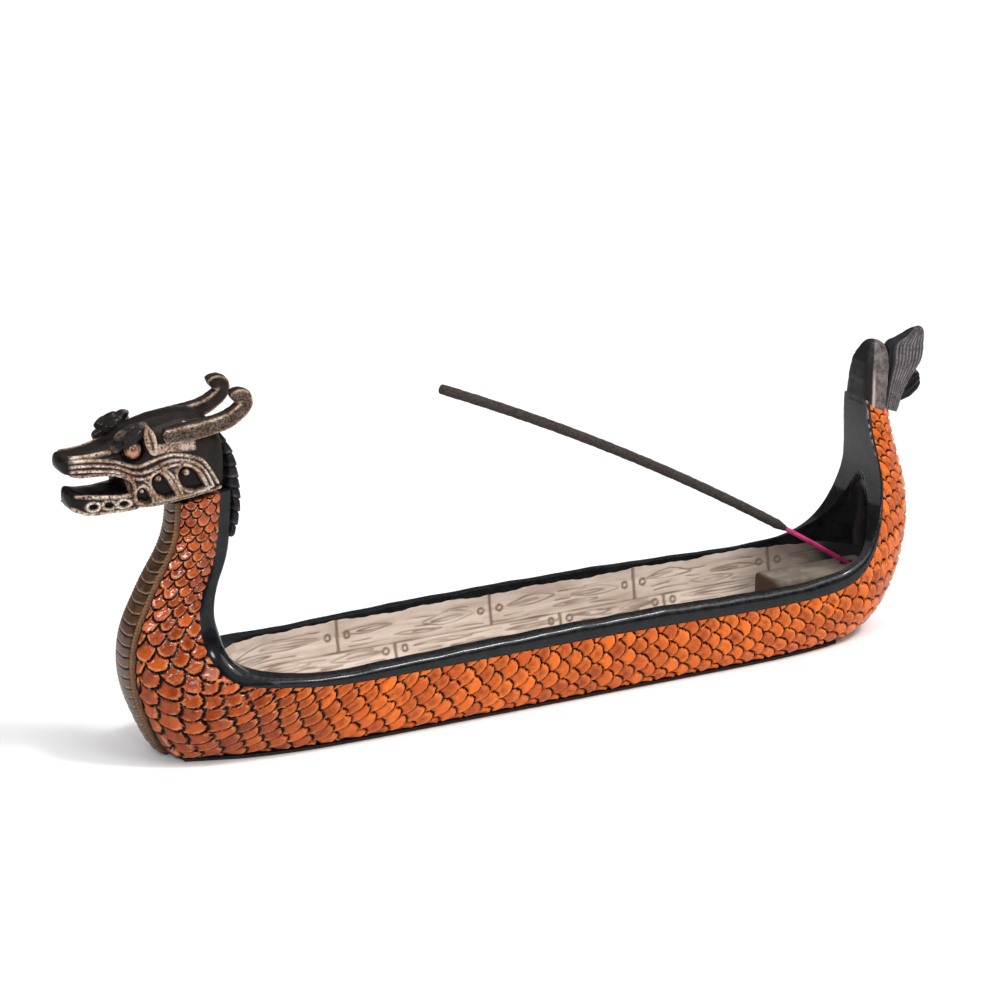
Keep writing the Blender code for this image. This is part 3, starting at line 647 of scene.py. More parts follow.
def black_lacquer(name="black_lacquer", worn=0.0):
    """Black satin paint with faint dust and brush marks; worn pale on the edges that are rubbed."""
    made, tree, shader = new_finish(name, 0.30, coat=0.42, coat_roughness=0.10, specular=0.03)
    cloud = speckle(tree, 3.0, 5.0)
    colour = clouded(tree, cloud, (0.003, 0.004, 0.005), (0.009, 0.010, 0.012))
    if worn:
        rub = times(tree, mark_of(tree, "wear"), span(tree, speckle(tree, 1.1, 4.0), 0.40, 0.62))
        colour = mixed(tree, times(tree, rub, worn), colour, (0.55, 0.42, 0.38))
    dress(tree, shader, colour, cloud, 0.22, 0.40)
    soft = tree.nodes.new("ShaderNodeBevel")
    soft.inputs["Radius"].default_value = 0.35 * MM
    soft.samples = 4
    raise_bump(tree, shader, speckle(tree, 0.9, 4.0), 0.10, 0.6, soft.outputs["Normal"])
    return made


def breast_bronze():
    """Dark bronze-brown breast plates with pale rubbed edges and black between them."""
    made, tree, shader = new_finish("breast_bronze", 0.38, coat=0.2, coat_roughness=0.15, specular=0.25)
    cloud = speckle(tree, 2.4, 5.0)
    colour = clouded(tree, cloud, (0.035, 0.013, 0.004), (0.100, 0.042, 0.013))
    rubbed = span(tree, speckle(tree, 0.9, 3.0), 0.36, 0.56, 0.15, 0.65)
    colour = mixed(tree, times(tree, mark_of(tree, "lip"), rubbed), colour, (0.36, 0.23, 0.14))
    colour = mixed(tree, times(tree, mark_of(tree, "bead"), 0.8), colour, (0.30, 0.13, 0.035))
    colour = mixed(tree, span(tree, mark_of(tree, "crease"), 0.2, 0.8), colour, (0.012, 0.007, 0.005))
    dress(tree, shader, colour, cloud, 0.30, 0.50)
    raise_bump(tree, shader, speckle(tree, 0.7, 4.0), 0.10, 0.6)
    return made


def weathered_board():
    """Pale dusty boards: brown in the cut lines, darkened towards the stern by painted shade, then black
    where the stern is painted black.
    """
    made, tree, shader = new_finish("weathered_board", 0.75, specular=0.3)
    grain = speckle(tree, 2.0, 6.0, stretch=(0.12, 1.0, 1.0))
    cloud = speckle(tree, 9.0, 5.0)
    colour = clouded(tree, grain, (0.46, 0.360, 0.295), (0.66, 0.555, 0.470))
    colour = mixed(tree, span(tree, cloud, 0.35, 0.75, 0.0, 0.5), colour, (0.74, 0.64, 0.56))
    cut = span(tree, mark_of(tree, "cut"), 0.10, 0.85, 0.0, 0.88)
    colour = mixed(tree, cut, colour, (0.160, 0.100, 0.068))
    # Painted shade: the boards darken towards the stern; further aft they turn to the stern's own black
    # paint.
    aft = plus(tree, along(tree, "X"), times(tree, cloud, 0.018))
    colour = mixed(tree, span(tree, aft, 0.075, 0.108, 0.0, 0.72), colour, (0.12, 0.085, 0.062))
    colour = mixed(tree, span(tree, aft, 0.104, 0.114), colour, (0.012, 0.012, 0.013))
    dress(tree, shader, colour, grain, 0.62, 0.88)
    raise_bump(tree, shader, grain, 0.18, 0.7)
    return made


def dusty_block():
    """Grey-beige matt block, powdery on top, its front end darkened to brown by painted shadow."""
    made, tree, shader = new_finish("dusty_block", 0.85, specular=0.25)
    cloud = speckle(tree, 4.0, 6.0)
    colour = clouded(tree, cloud, (0.115, 0.090, 0.068), (0.200, 0.165, 0.130))
    # Painted shadow on the front end of the block.
    front = plus(tree, along(tree, "X"), times(tree, cloud, 0.002))
    colour = mixed(tree, span(tree, front, 0.0785, 0.0805, 1.0, 0.0), colour, (0.065, 0.038, 0.024))
    dress(tree, shader, colour, cloud, 0.72, 0.95)
    raise_bump(tree, shader, speckle(tree, 0.8, 5.0), 0.16, 0.8)
    return made


def brushed_charcoal(name="brushed_charcoal", base=(0.008, 0.006, 0.005), strength=1.0):
    """Charcoal paint, dry-brushed with copper and cream on everything raised, black in the hollows."""
    made, tree, shader = new_finish(name, 0.38, coat=0.15, coat_roughness=0.11, specular=0.03)
    fine = speckle(tree, 0.55, 5.0, 0.65)
    cloud = speckle(tree, 3.2, 5.0, offset=0.2)
    lighter = tuple(2.2 * part for part in base)
    colour = clouded(tree, cloud, base, lighter)
    raised = mark_of(tree, "raised")
    rub = times(tree, raised, span(tree, fine, 0.34, 0.58))
    tint = mixed(tree, span(tree, cloud, 0.4, 0.62), (0.42, 0.26, 0.17), (0.86, 0.70, 0.58))
    colour = mixed(tree, times(tree, rub, strength), colour, tint)
    mottle = times(tree, mark_of(tree, "mottle"), span(tree, fine, 0.47, 0.56))
    colour = mixed(tree, times(tree, mottle, 0.50), colour, (0.46, 0.28, 0.19))
    colour = mixed(tree, mark_of(tree, "crease"), colour, (0.006, 0.005, 0.005))
    dress(tree, shader, colour, cloud, 0.28, 0.46)
    raise_bump(tree, shader, fine, 0.14, 0.8)
    return made


def copper_eye():
    """Copper ball, brighter where it is rubbed."""
    made, tree, shader = new_finish("copper_eye", 0.3, metallic=0.55, coat=0.3)
    cloud = speckle(tree, 1.1, 5.0)
    colour = mixed(tree, span(tree, cloud, 0.35, 0.62), (0.060, 0.026, 0.013), (0.42, 0.21, 0.12))
    colour = mixed(tree, mark_of(tree, "crease"), colour, (0.012, 0.008, 0.006))
    dress(tree, shader, colour, cloud, 0.24, 0.42)
    raise_bump(tree, shader, speckle(tree, 0.5, 4.0), 0.08, 0.6)
    return made


def tail_grey():
    """Grey-lavender fin with pale fine rays and black on its front and upper edges."""
    made, tree, shader = new_finish("tail_grey", 0.5, coat=0.08, coat_roughness=0.2, specular=0.15)
    fine = speckle(tree, 0.7, 5.0, 0.65)
    cloud = speckle(tree, 3.0, 5.0)
    colour = clouded(tree, cloud, (0.042, 0.036, 0.038), (0.090, 0.080, 0.086))
    rub = times(tree, mark_of(tree, "raised"), span(tree, fine, 0.36, 0.58))
    colour = mixed(tree, times(tree, rub, 0.65), colour, (0.30, 0.265, 0.280))
    spots = span(tree, speckle(tree, 1.4, 5.0, 0.65, offset=0.4), 0.38, 0.68)
    mottle = times(tree, mark_of(tree, "mottle"), spots)
    colour = mixed(tree, times(tree, mottle, 0.7), colour, (0.24, 0.18, 0.15))
    colour = mixed(tree, times(tree, mark_of(tree, "worn"), 0.8), colour, (0.66, 0.50, 0.45))
    colour = mixed(tree, mark_of(tree, "crease"), colour, (0.010, 0.010, 0.011))
    dress(tree, shader, colour, cloud, 0.42, 0.62)
    raise_bump(tree, shader, fine, 0.12, 0.7)
    return made


def pressed_incense():
    """Matt brown-black incense paste with a grainy skin."""
    made, tree, shader = new_finish("pressed_incense", 0.9, specular=0.3)
    grain = speckle(tree, 0.7, 6.0, 0.7)
    colour = clouded(tree, grain, (0.014, 0.011, 0.010), (0.060, 0.046, 0.040))
    dress(tree, shader, colour, grain, 0.80, 0.98)
    raise_bump(tree, shader, grain, 0.22, 1.0)
    return made


def dyed_bamboo():
    """Magenta-dyed split bamboo with fibres along the stick."""
    made, tree, shader = new_finish("dyed_bamboo", 0.55)
    fibre = speckle(tree, 0.4, 5.0, stretch=(0.08, 1.0, 0.12))
    colour = clouded(tree, fibre, (0.33, 0.012, 0.085), (0.62, 0.045, 0.21))
    dress(tree, shader, colour, fibre, 0.45, 0.68)
    raise_bump(tree, shader, fibre, 0.06, 0.7)
    return made


def black_felt():
    """Short black felt under the boat."""
    made, tree, shader = new_finish("black_felt", 0.95, specular=0.2)
    nap = speckle(tree, 0.35, 6.0, 0.7)
    colour = clouded(tree, nap, (0.010, 0.010, 0.010), (0.040, 0.038, 0.036))
    dress(tree, shader, colour, nap, 0.88, 1.0)
    raise_bump(tree, shader, nap, 0.2, 1.0)
    return made


def floor_paper():
    """Near-white seamless paper with the faintest tooth."""
    made, tree, shader = new_finish("floor_paper", 0.6, specular=0.25)
    cloud = speckle(tree, 40.0, 3.0)
    colour = mixed(tree, span(tree, cloud, 0.2, 0.8), (0.89, 0.89, 0.90), (0.91, 0.91, 0.915))
    tree.links.new(colour, shader.inputs["Base Color"])
    return made


# ---------------------------------------------------------------- the hull

def station_knots():
    """Distance of each station along the middle of the side."""
    return way_along((STATIONS[:, 0:2] + STATIONS[:, 5:7]) / 2)


def hull_slices(wanted):
    """Stations joined by a smooth curve along the middle of the side and read where asked, and the
    station number there."""
    knots = station_knots()
    slices = cubic(knots, STATIONS, wanted)
    slices[:, 1] = np.maximum(slices[:, 1], HULL_BOTTOM)
    slices[:, 2] = np.maximum(slices[:, 2], STATIONS[:, 2].min())
    return slices, np.interp(wanted, knots, np.arange(len(knots)))


def side_grid(slices, t):
    """Left side: on each slice a cubic Bezier curve, half width over the way from keel to rim."""
    weights = np.stack(((1 - t) ** 3, 3 * t * (1 - t) ** 2, 3 * t ** 2 * (1 - t), t ** 3))
    share = weights[1] * SIDE_LOW + weights[2] * SIDE_HIGH + weights[3]
    out = slices[:, (2, 3, 4, 7)] @ weights
    keel = slices[:, None, 0:2]
    spot = keel + (slices[:, None, 5:7] - keel) * share[None, :, None]
    return stood_up(spot, -out)


def girth_of(points):
    """Distance from the keel edge along each row of the side."""
    step = np.linalg.norm(np.diff(points, axis=1), axis=2)
    return np.concatenate((np.zeros((len(points), 1)), np.cumsum(step, axis=1)), axis=1)


def scale_pattern(u, v, width, seed):
    """Overlapping round scales.  Row r is a line of discs whose middles lie at u = r, half a disc
    off the row before; a point belongs to the first row whose disc reaches it.  Gives the relief
    in millimetres and the creases, lips, tones, and smudges with painted shade at each scale's base."""
    radius = width / 2
    found = np.zeros(u.shape, bool)
    own = np.zeros(u.shape)
    gap = np.full(u.shape, 9.0)
    tone = np.zeros(u.shape)
    kind = np.zeros(u.shape)
    middle = np.full(u.shape, 9.0)
    first = np.ceil(u - FARTHEST_REACH)
    for step in range(4):
        row = first + step
        shifted = v + 0.5 * np.mod(row, 2)
        column = np.floor(shifted)
        across = 2 * (shifted - column - 0.5)
        reach = SCALE_REACH * (1 + 0.20 * (chance(row, column, seed) - 0.5))
        ahead = (u - row) / reach
        round_off = np.where(ahead > 0, np.hypot(across, ahead), np.abs(across))
        inside = (1 - round_off) * radius
        hit = (inside >= 0) & ~found
        own = np.where(hit, inside, own)
        tone = np.where(hit, chance(row, column, seed + 5), tone)
        kind = np.where(hit, chance(row, column, seed + 9), kind)
        middle = np.where(hit, np.hypot(across, (u - row - 0.42) * 1.5), middle)
        gap = np.where(found | hit, gap, np.minimum(gap, -inside))
        found |= hit
    size = radius / USUAL_RADIUS
    crease = bell(np.maximum(gap, 0.0), 0.36 * size)
    # The lip is the free edge of each scale; the glaze paints a highlight on it.
    lip = bell(own - 0.30 * size, 0.26 * size)
    relief = (0.34 * smooth(gap / (2.2 * size)) - 0.62 * crease
              - 0.34 * (1 - smooth(own / (0.42 * size))) + 0.10 * lip
              - 0.24 * bell(middle, 0.50)) * np.minimum(size * 1.15, 1.0)
    smudge_and_base_shade = bell(middle, 0.52) * smooth((kind - 0.15) / 0.6)
    # Painted shade: darker toward the base of each scale, under the edge of the scale above.
    smudge_and_base_shade = np.maximum(smudge_and_base_shade, 0.85 * (1 - smooth(gap / (1.5 * size))))
    return relief, {"crease": crease, "lip": lip, "tone": tone, "smudge_and_base_shade": smudge_and_base_shade}


def hollow_ring(z, grow, turn):
    """Outline of the hollow at each height: a superellipse whose bow half and stern half have
    their own length and roundness.  z is a list of heights, turn a list of angles once round."""
    bow, wide, stern = (np.interp(z, HOLLOW_LEVELS[:, 0], HOLLOW_LEVELS[:, k])[:, None] for k in (1, 2, 3))
    bow, wide, stern = bow - grow, wide + grow, stern + grow
    cosine = np.cos(turn)[None, :]
    fore = cosine > 0
    power = np.where(fore, HOLLOW_BOW[1], HOLLOW_STERN[1])
    reach = np.abs(cosine) ** (2 / power)
    x = np.where(fore, bow + HOLLOW_BOW[0] * (1 - reach), stern - HOLLOW_STERN[0] * (1 - reach))
    y = -wide * squared_off(np.sin(turn)[None, :], 2 / HOLLOW_BOW[1])
    return x, y


def even_ring(z, grow, half_count):
    """The hollow's outline at each height with its points at even steps of its length.  Gives x, y,
    the way from the bow along the middle height's outline and its share of the way to the stern."""
    fine = np.linspace(0.0, math.pi, 4000)
    fine_x, fine_y = hollow_ring(z, grow, fine)
    run = np.cumsum(np.hypot(np.diff(fine_x, axis=1), np.diff(fine_y, axis=1)), axis=1)
    run = np.concatenate((np.zeros((len(z), 1)), run), axis=1)
    share = np.linspace(0.0, 1.0, half_count)
    x = np.stack([np.interp(share * way[-1], way, row) for way, row in zip(run, fine_x)])
    y = np.stack([np.interp(share * way[-1], way, row) for way, row in zip(run, fine_y)])
    y[:, (0, -1)] = 0.0
    x = np.concatenate((x, x[:, -2:0:-1]), axis=1)
    y = np.concatenate((y, -y[:, -2:0:-1]), axis=1)
    way = run[len(z) // 2, -1] * share
    return x, y, np.concatenate((way, way[-1] + way[1:-1])), np.concatenate((share, share[-2:0:-1]))


def hollow_cutter(highest, grow=0.0):
    """The boat's hollow as a closed solid: its outlines from the floor to a highest level."""
    z = np.append(HOLLOW_LEVELS[HOLLOW_LEVELS[:, 0] < highest, 0], highest)
    x, y = hollow_ring(z, grow, turns(160)[0])
    points = np.stack((x, y, np.broadcast_to(z[:, None], x.shape)), -1)
    return surface("hollow_cutter", points)


def scale_width(girth):
    """Width of the scales: an even share of the side, but never wider than the broadest scale."""
    return WIDEST_SCALE - np.log1p(np.exp((WIDEST_SCALE - girth / SCALE_COLUMNS) * 3)) / 3


def make_hull(glaze, paint):
    """Scaled hull: the side surface, left and right, moved along its normals by the scale pattern.
    Rows of scales follow the keel and the side's middle line, a set share of a scale apart, and
    the surface is sampled evenly in rows.  The hollow is then cut out of it."""
    distance = np.linspace(0.0, station_knots()[-1], 700)
    t = np.linspace(0.0, 1.0, SIDE_SAMPLES)
    coarse = side_grid(hull_slices(distance)[0], t)
    width = scale_width(girth_of(coarse)[:, -1])
    keel_way = np.linalg.norm(np.diff(coarse[:, 0], axis=0), axis=1)
    travel = 0.7 * np.diff(distance) + 0.3 * keel_way
    pace = 1 / (ROW_SHARE * width)
    rows = np.concatenate(([0.0], np.cumsum((pace[1:] + pace[:-1]) / 2 * travel)))
    even = np.linspace(0.0, rows[-1], int(rows[-1] * SAMPLES_PER_ROW))
    distance = np.interp(even, rows, distance)
    side = side_grid(hull_slices(distance)[0], t)
    girth = girth_of(side)
    normal = np.cross(np.gradient(side, axis=0), np.gradient(side, axis=1))
    normal /= np.linalg.norm(normal, axis=2, keepdims=True)
    normal *= -np.sign(normal[..., 1].mean())
    share = girth / girth[:, -1:]
    width = scale_width(girth[:, -1])[:, None]
    from_rim = (girth[:, -1:] - girth) / width
    halves, all_marks = [], []
    for seed, mirror in ((1.0, 1.0), (2.0, -1.0)):
        u = even[:, None] + 0.16 * ripple(share * 7, even[:, None] * 0.9, seed)
        v = from_rim + 0.10 * ripple(even[:, None] * 0.8, share * 6, seed + 3) + COLUMN_START
        relief, marks = scale_pattern(u, v, width, seed)
        relief = relief - RELIEF_TOP + 0.06 * ripple(even[:, None] * 1.7, share * 9, seed + 7)
        edge = smooth(share / 0.05)
        marks["crease"] = np.maximum(marks["crease"], 0.9 * (1 - edge) * (distance[:, None] < NECK_RUN))
        points = side + normal * relief[..., None]
        points[..., 1] = np.clip(points[..., 1] * mirror, -HALF_BEAM, HALF_BEAM)
        points[..., 2] = np.maximum(points[..., 2], HULL_BOTTOM)
        marks["neck"] = smooth((NECK_START - side[..., 0]) / NECK_FADE)
        height = smooth((side[..., 2] - GLOSS_LOW) / GLOSS_RISE)
        marks["gloss"] = marks["neck"] * (0.25 + 0.75 * height)
        halves.append(points)
        all_marks.append(marks)
    points = np.concatenate((halves[0], halves[1][:, ::-1]), axis=1)
    marks = {name: np.concatenate((all_marks[0][name], all_marks[1][name][:, ::-1]), axis=1)
             for name in all_marks[0]}
    hull = surface("hull_scales", points, marks)
    hull.data.materials.append(glaze)
    carve(hull, hollow_cutter(HULL_CUT_TOP, HULL_SET_BACK), paint)
    return settle(hull, glaze, "scales", "burner", "hull_shell")


def make_rim(paint, inner_paint):
    """Black moulding: on each slice a rounded bar from side to side, its outer corner a quarter
    ellipse and its top slightly crowned, with the hollow then cut out of it."""
    distance = np.linspace(0.0, station_knots()[-1], 520)
    slices, station = hull_slices(distance)
    keel = slices[:, 0:2]
    rise = slices[:, 5:7] - keel
    length = np.linalg.norm(rise, axis=1, keepdims=True)
    direction = rise / length
    cap = slices[:, 8:9] * (1 + 0.022 * np.sin(distance[:, None] * 0.21)
                            + 0.015 * np.sin(distance[:, None] * 0.47 + 1.0))
    rim = slices[:, 7:8]
    corner = np.minimum(slices[:, 9:10], rim - GAP)
    turn = np.radians(np.linspace(0.0, 90.0, 11))[None, :]
    height = GAP + cap * (0.45 + 0.55 * np.sin(turn))
    out = rim - corner * (1 - np.cos(turn))
    low = np.array((0.0, 0.3, 0.6, 1.0))[None, :]
    height = np.concatenate((OVERLAP + (height[:, :1] - OVERLAP) * low, height[:, 1:]), axis=1)
    out = np.concatenate((rim - 0.45 * (1 - low) ** 2, out[:, 1:]), axis=1)
    share = np.linspace(0.94, 0.0, 12)[None, :]
    crown = np.where(station[:, None] < NAPE_STATIONS, 0.5, 0.12) * (1 - share ** 2)
    across = (rim - corner) * share
    height = np.concatenate((height, height[:, -1:] + crown), axis=1)
    out = np.concatenate((out, across), axis=1)
    height = height + 0.03 * ripple(distance[:, None] * 0.5, out * 0.5, 4.0)
    spot = keel[:, None] + direction[:, None] * (length[:, None] + height[..., None])
    half = stood_up(spot, -np.minimum(out, HALF_BEAM))
    other = half[:, -2::-1] * np.array((1.0, -1.0, 1.0))
    points = np.concatenate((half, other), axis=1)
    corner_mark = np.zeros(out.shape)
    corner_mark[:, 5:15] = bell(np.linspace(-1.0, 1.0, 10), 0.75)
    post = smooth((station[:, None] - POST_START_STATION) / 3.0)
    wear = corner_mark * (0.05 + 0.95 * post)
    marks = {"wear": np.concatenate((wear, wear[:, -2::-1]), axis=1)}
    rim_piece = surface("rim_moulding", points, marks, 60)
    rim_piece.data.materials.append(paint)
    carve(rim_piece, hollow_cutter(RIM_CUT_TOP), inner_paint, 60)
    return settle(rim_piece, paint, "black", "burner", "gunwale_trim")


def make_breast(finish):
    """Breast plates: a strip along the keel line whose height saws up and drops once for each
    plate, with a beaded cord on both edges, tapering to a point under the bow."""
    knots = station_knots()
    last = np.interp(LAST_BAND_STATION, np.arange(len(knots)), knots)
    slices, station = hull_slices(np.linspace(0.0, last, 620))
    keel = slices[:, 0:2]
    direction = slices[:, 5:7] - keel
    direction /= np.linalg.norm(direction, axis=1, keepdims=True)
    travel = way_along(keel)[:, None]
    taper = np.clip((LAST_BAND_STATION - station) / BAND_TIP_STATIONS, 0.0, 1.0)
    wide = np.maximum(slices[:, 2] * np.sqrt(taper), 0.9)[:, None]
    share = np.linspace(-1.0, 1.0, 49)[None, :]
    phase = travel / PLATE_PITCH + 0.30 * share ** 2 + 0.05 * ripple(travel * 0.5, share * 3, 1.0)
    part = phase - np.floor(phase)
    inner = smooth((0.90 - np.abs(share)) / 0.10)
    crease = bell(np.minimum(part, 1 - part), 0.10) * inner
    lip = bell(part - 0.84, 0.09) * inner
    bead = bell(np.abs(share) - 0.945, 0.045) * (0.65 + 0.35 * np.cos(travel * 2 * math.pi / BEAD_PITCH))
    side_crease = bell(np.abs(share) - 0.885, 0.025)
    saw = 0.30 * part - 0.42 * bell(part, 0.10) - 0.30 * bell(1 - part, 0.07)
    lift = (0.62 + 0.5 * (1 - share ** 2) + saw * inner
            + 0.30 * bead - 0.30 * side_crease + 0.04 * lip)
    lift = lift * smooth((1.0 - np.abs(share)) / 0.05 + 0.25) * np.minimum(1.0, 0.45 + wide / 4.0)
    front = keel[:, None] - direction[:, None] * (0.25 + lift[..., None])
    top = stood_up(front, wide * share)
    back_share = np.linspace(1.0, -1.0, 7)[None, :]
    behind = np.broadcast_to((keel + direction * 0.4)[:, None], (len(keel), 7, 2))
    under = stood_up(behind, wide * back_share)
    points = np.concatenate((top, under), axis=1)
    points[..., 2] = np.maximum(points[..., 2], HULL_BOTTOM)

    def whole(mark):
        return np.concatenate((np.broadcast_to(mark, lift.shape), np.zeros((len(keel), 7))), axis=1)
    marks = {"crease": whole(np.maximum(crease, side_crease * 0.8)), "lip": whole(lip), "bead": whole(bead)}
    return settle(surface("breast_scutes", points, marks), finish, "bronze", "burner", "breast_band")


# ---------------------------------------------------------------- inside

def board_cuts(x, down):
    """Cut lines of the boards.  down is the way from the top edge over wall and floor.  Every board
    has its seams, end joints, a nail ring by each joint and grain drawn as long thin lenses."""
    board = np.clip(np.searchsorted(PLANK_SEAMS, down.ravel(), "right").reshape(down.shape) - 1,
                    0, len(PLANK_JOINTS) - 1)
    top, bottom = PLANK_SEAMS[board], PLANK_SEAMS[board + 1]
    height = bottom - top
    seam = np.minimum(np.where(board == 0, 9.0, down - top), bottom - down)
    seam = seam + 0.12 * ripple(x * 0.25, down * 0.1, 2.0)
    broken = 0.68 + 0.32 * ripple(x * 0.33, down * 0.9, 5.0)
    cut = bell(seam, SEAM_SPREAD) * broken
    for number, joints in enumerate(PLANK_JOINTS):
        here = board == number
        ends = np.array(joints)
        piece = np.clip(np.searchsorted(ends, x.ravel(), "right").reshape(x.shape) - 1, 0, len(ends) - 2)
        start, stop = ends[piece], ends[piece + 1]
        near = np.minimum(x - start, stop - x)
        level = (down - top) / height - 0.5
        wave = 0.10 * ripple(x * 0.16, np.zeros(x.shape) + number, 1.0 + number)
        share = (x - start) / (stop - start)
        nail = np.hypot(near - NAIL_FROM_END, (level + 0.1) * height)
        lines = np.maximum(bell(near, JOINT_SPREAD), bell(nail - NAIL_RADIUS, 0.38))
        for turn, (low, high, size, middle) in enumerate(GRAIN_LENSES):
            moved = 0.16 * (chance(piece + number * 3, turn, 2.0) - 0.5)
            bulk = size * (0.55 + 0.8 * chance(piece, number * 5 + turn, 4.0))
            grown = np.clip((share - low - moved) / (high - low), 0.0, 1.0)
            bulge = bulk * np.sin(math.pi * grown) ** 1.2
            drawn = smooth(np.minimum(share - low - moved, high + moved - share) / 0.03)
            for sign in (-1.0, 1.0):
                away = np.abs(level - middle - wave - sign * bulge) * height
                lines = np.maximum(lines, 0.9 * bell(away, GRAIN_SPREAD) * drawn * broken)
        cut = np.where(here, np.maximum(cut, lines), cut)
    return cut * smooth((x - BOARDS_START) / 6.0)


def make_planks(finish):
    """Boarded inside: up behind the boards, down the hollow's wall, then over the floor to its
    middle line; pushed in along the cut lines of the boards."""
    z = np.linspace(PLANK_TOP + PLANK_RISE, FLOOR_TOP + BOARD_LIFT, 70)
    x, y, way, share = even_ring(z, -BOARD_PROUD, WALL_POINTS)
    edge = 0.24 * np.sin(way * 0.21) + 0.15 * np.sin(way * 0.57 + 1.0) + 0.07 * np.sin(way * 1.7)
    edge = edge * smooth(share / 0.08) * smooth((1 - share) / 0.08)

    def wavy(level):
        return level[:, None] + edge[None, :] * smooth((level - 16.0) / 3.4)[:, None]
    height = wavy(z)
    down = np.broadcast_to((PLANK_TOP - z)[:, None], x.shape)
    cut = board_cuts(x, down)
    run_x = np.roll(x, -1, 1) - np.roll(x, 1, 1)
    run_y = np.roll(y, -1, 1) - np.roll(y, 1, 1)
    inward = np.stack((-run_y, run_x, np.zeros(x.shape)), -1)
    inward /= np.linalg.norm(inward, axis=2, keepdims=True)
    wall = np.stack((x, y, height), -1) - inward * (CUT_DEPTH * cut[..., None])
    shrink = np.linspace(1.0, 0.0, 50)[1:, None]
    floor_y = y[-1:] * shrink
    floor_x = np.broadcast_to(x[-1:], floor_y.shape)
    floor_cut = board_cuts(floor_x, PLANK_SEAMS[-1] - FLOOR_MIDDLE - np.abs(floor_y))
    floor = np.stack((floor_x, floor_y, FLOOR_TOP + BOARD_LIFT - FLOOR_CUT_DEPTH * floor_cut), -1)
    outer_z = np.linspace(PLANK_TOP + PLANK_RISE - 0.1, FLOOR_TOP - 0.4, 8)
    outer_x, outer_y = even_ring(outer_z, BOARD_BACK, WALL_POINTS)[:2]
    outer = np.stack((outer_x, outer_y, wavy(outer_z)), -1)
    points = np.concatenate((outer[::-1], wall, floor))
    marks = {"cut": np.concatenate((np.zeros(outer_x.shape), cut, floor_cut))}
    planks = surface("deck_planks", points, marks, last_cap=False)
    return settle(planks, finish, "plank", "burner", "plank_liner")


def make_block(finish, hole_finish):
    """Stick block: a box whose plan and section are rounded by a high-power superellipse, with the
    slanting socket drilled into its rear."""
    ends = ((0.0, 0.06, 9), (0.07, 0.94, 60), (0.95, 1.0, 6))
    share = np.concatenate([np.linspace(*piece) for piece in ends])
    x = BLOCK_FRONT + (BLOCK_BACK - BLOCK_FRONT) * share
    size = (1 - np.abs(2 * share - 1) ** 40) ** 0.35
    size = np.maximum(size, 0.02)[:, None]
    turn = turns(72)
    across, upright = squared_off(np.cos(turn), 0.22), squared_off(np.sin(turn), 0.22)
    y = BLOCK_HALF_WIDTH * (0.5 + 0.5 * size) * across
    bottom = FLOOR_TOP + 0.3
    middle, half = (BLOCK_TOP + bottom) / 2, (BLOCK_TOP - bottom) / 2
    z = middle + half * (0.86 + 0.14 * size) * upright
    y = y + 0.12 * ripple(x[:, None] * 0.3, turn * 2, 3.0)
    z = z + 0.08 * ripple(x[:, None] * 0.4, turn * 3, 6.0) - 0.06
    points = np.stack((np.broadcast_to(x[:, None], y.shape), y, z), -1)
    block = surface("stick_rest", points, sharp=70)
    block.data.materials.append(finish)
    out = np.array((-math.cos(SOCKET_ANGLE), 0.0, math.sin(SOCKET_ANGLE)))
    side = np.array((0.0, 1.0, 0.0))
    up = np.cross(out, side)
    mouth = np.array((SOCKET_MOUTH[0], 0.0, SOCKET_MOUTH[1]))
    steps = np.array((-SOCKET_DEPTH, -2.0, 0.0, 6.0))[:, None, None]
    ring = turns(32)[..., None]
    drill = mouth + out * steps + SOCKET_RADIUS * (side * np.cos(ring) + up * np.sin(ring))
    carve(block, surface("socket_cutter", drill), hole_finish, 70)
    return settle(block, finish, "block", "burner", "stick_block")


# ---------------------------------------------------------------- the head

def run_of(slices, count, spread):
    """Slices read at even steps of x and averaged with bell-shaped weights; both ends rounded by a
    quarter ellipse."""
    x = np.linspace(slices[0, 0], slices[-1, 0], count)
    step = x[1] - x[0]
    reach = int(3 * spread / step)
    weight = bell(np.arange(-reach, reach + 1) * step, spread * 1.414)
    weight /= weight.sum()
    values = []
    for k in (1, 2, 3):
        plain = np.interp(x, slices[:, 0], slices[:, k])
        before, after = 2 * plain[0] - plain[reach:0:-1], 2 * plain[-1] - plain[-2:-reach - 2:-1]
        padded = np.concatenate((before, plain, after))
        values.append(np.convolve(padded, weight, "valid"))
    low, high, wide = values
    size = round_end((x - x[0]) / HEAD_END_ROUND, 0.04) * round_end((x[-1] - x) / HEAD_END_ROUND, 0.04)
    return [column[:, None] for column in (x, (low + high) / 2, (high - low) / 2 * size, wide * size)]


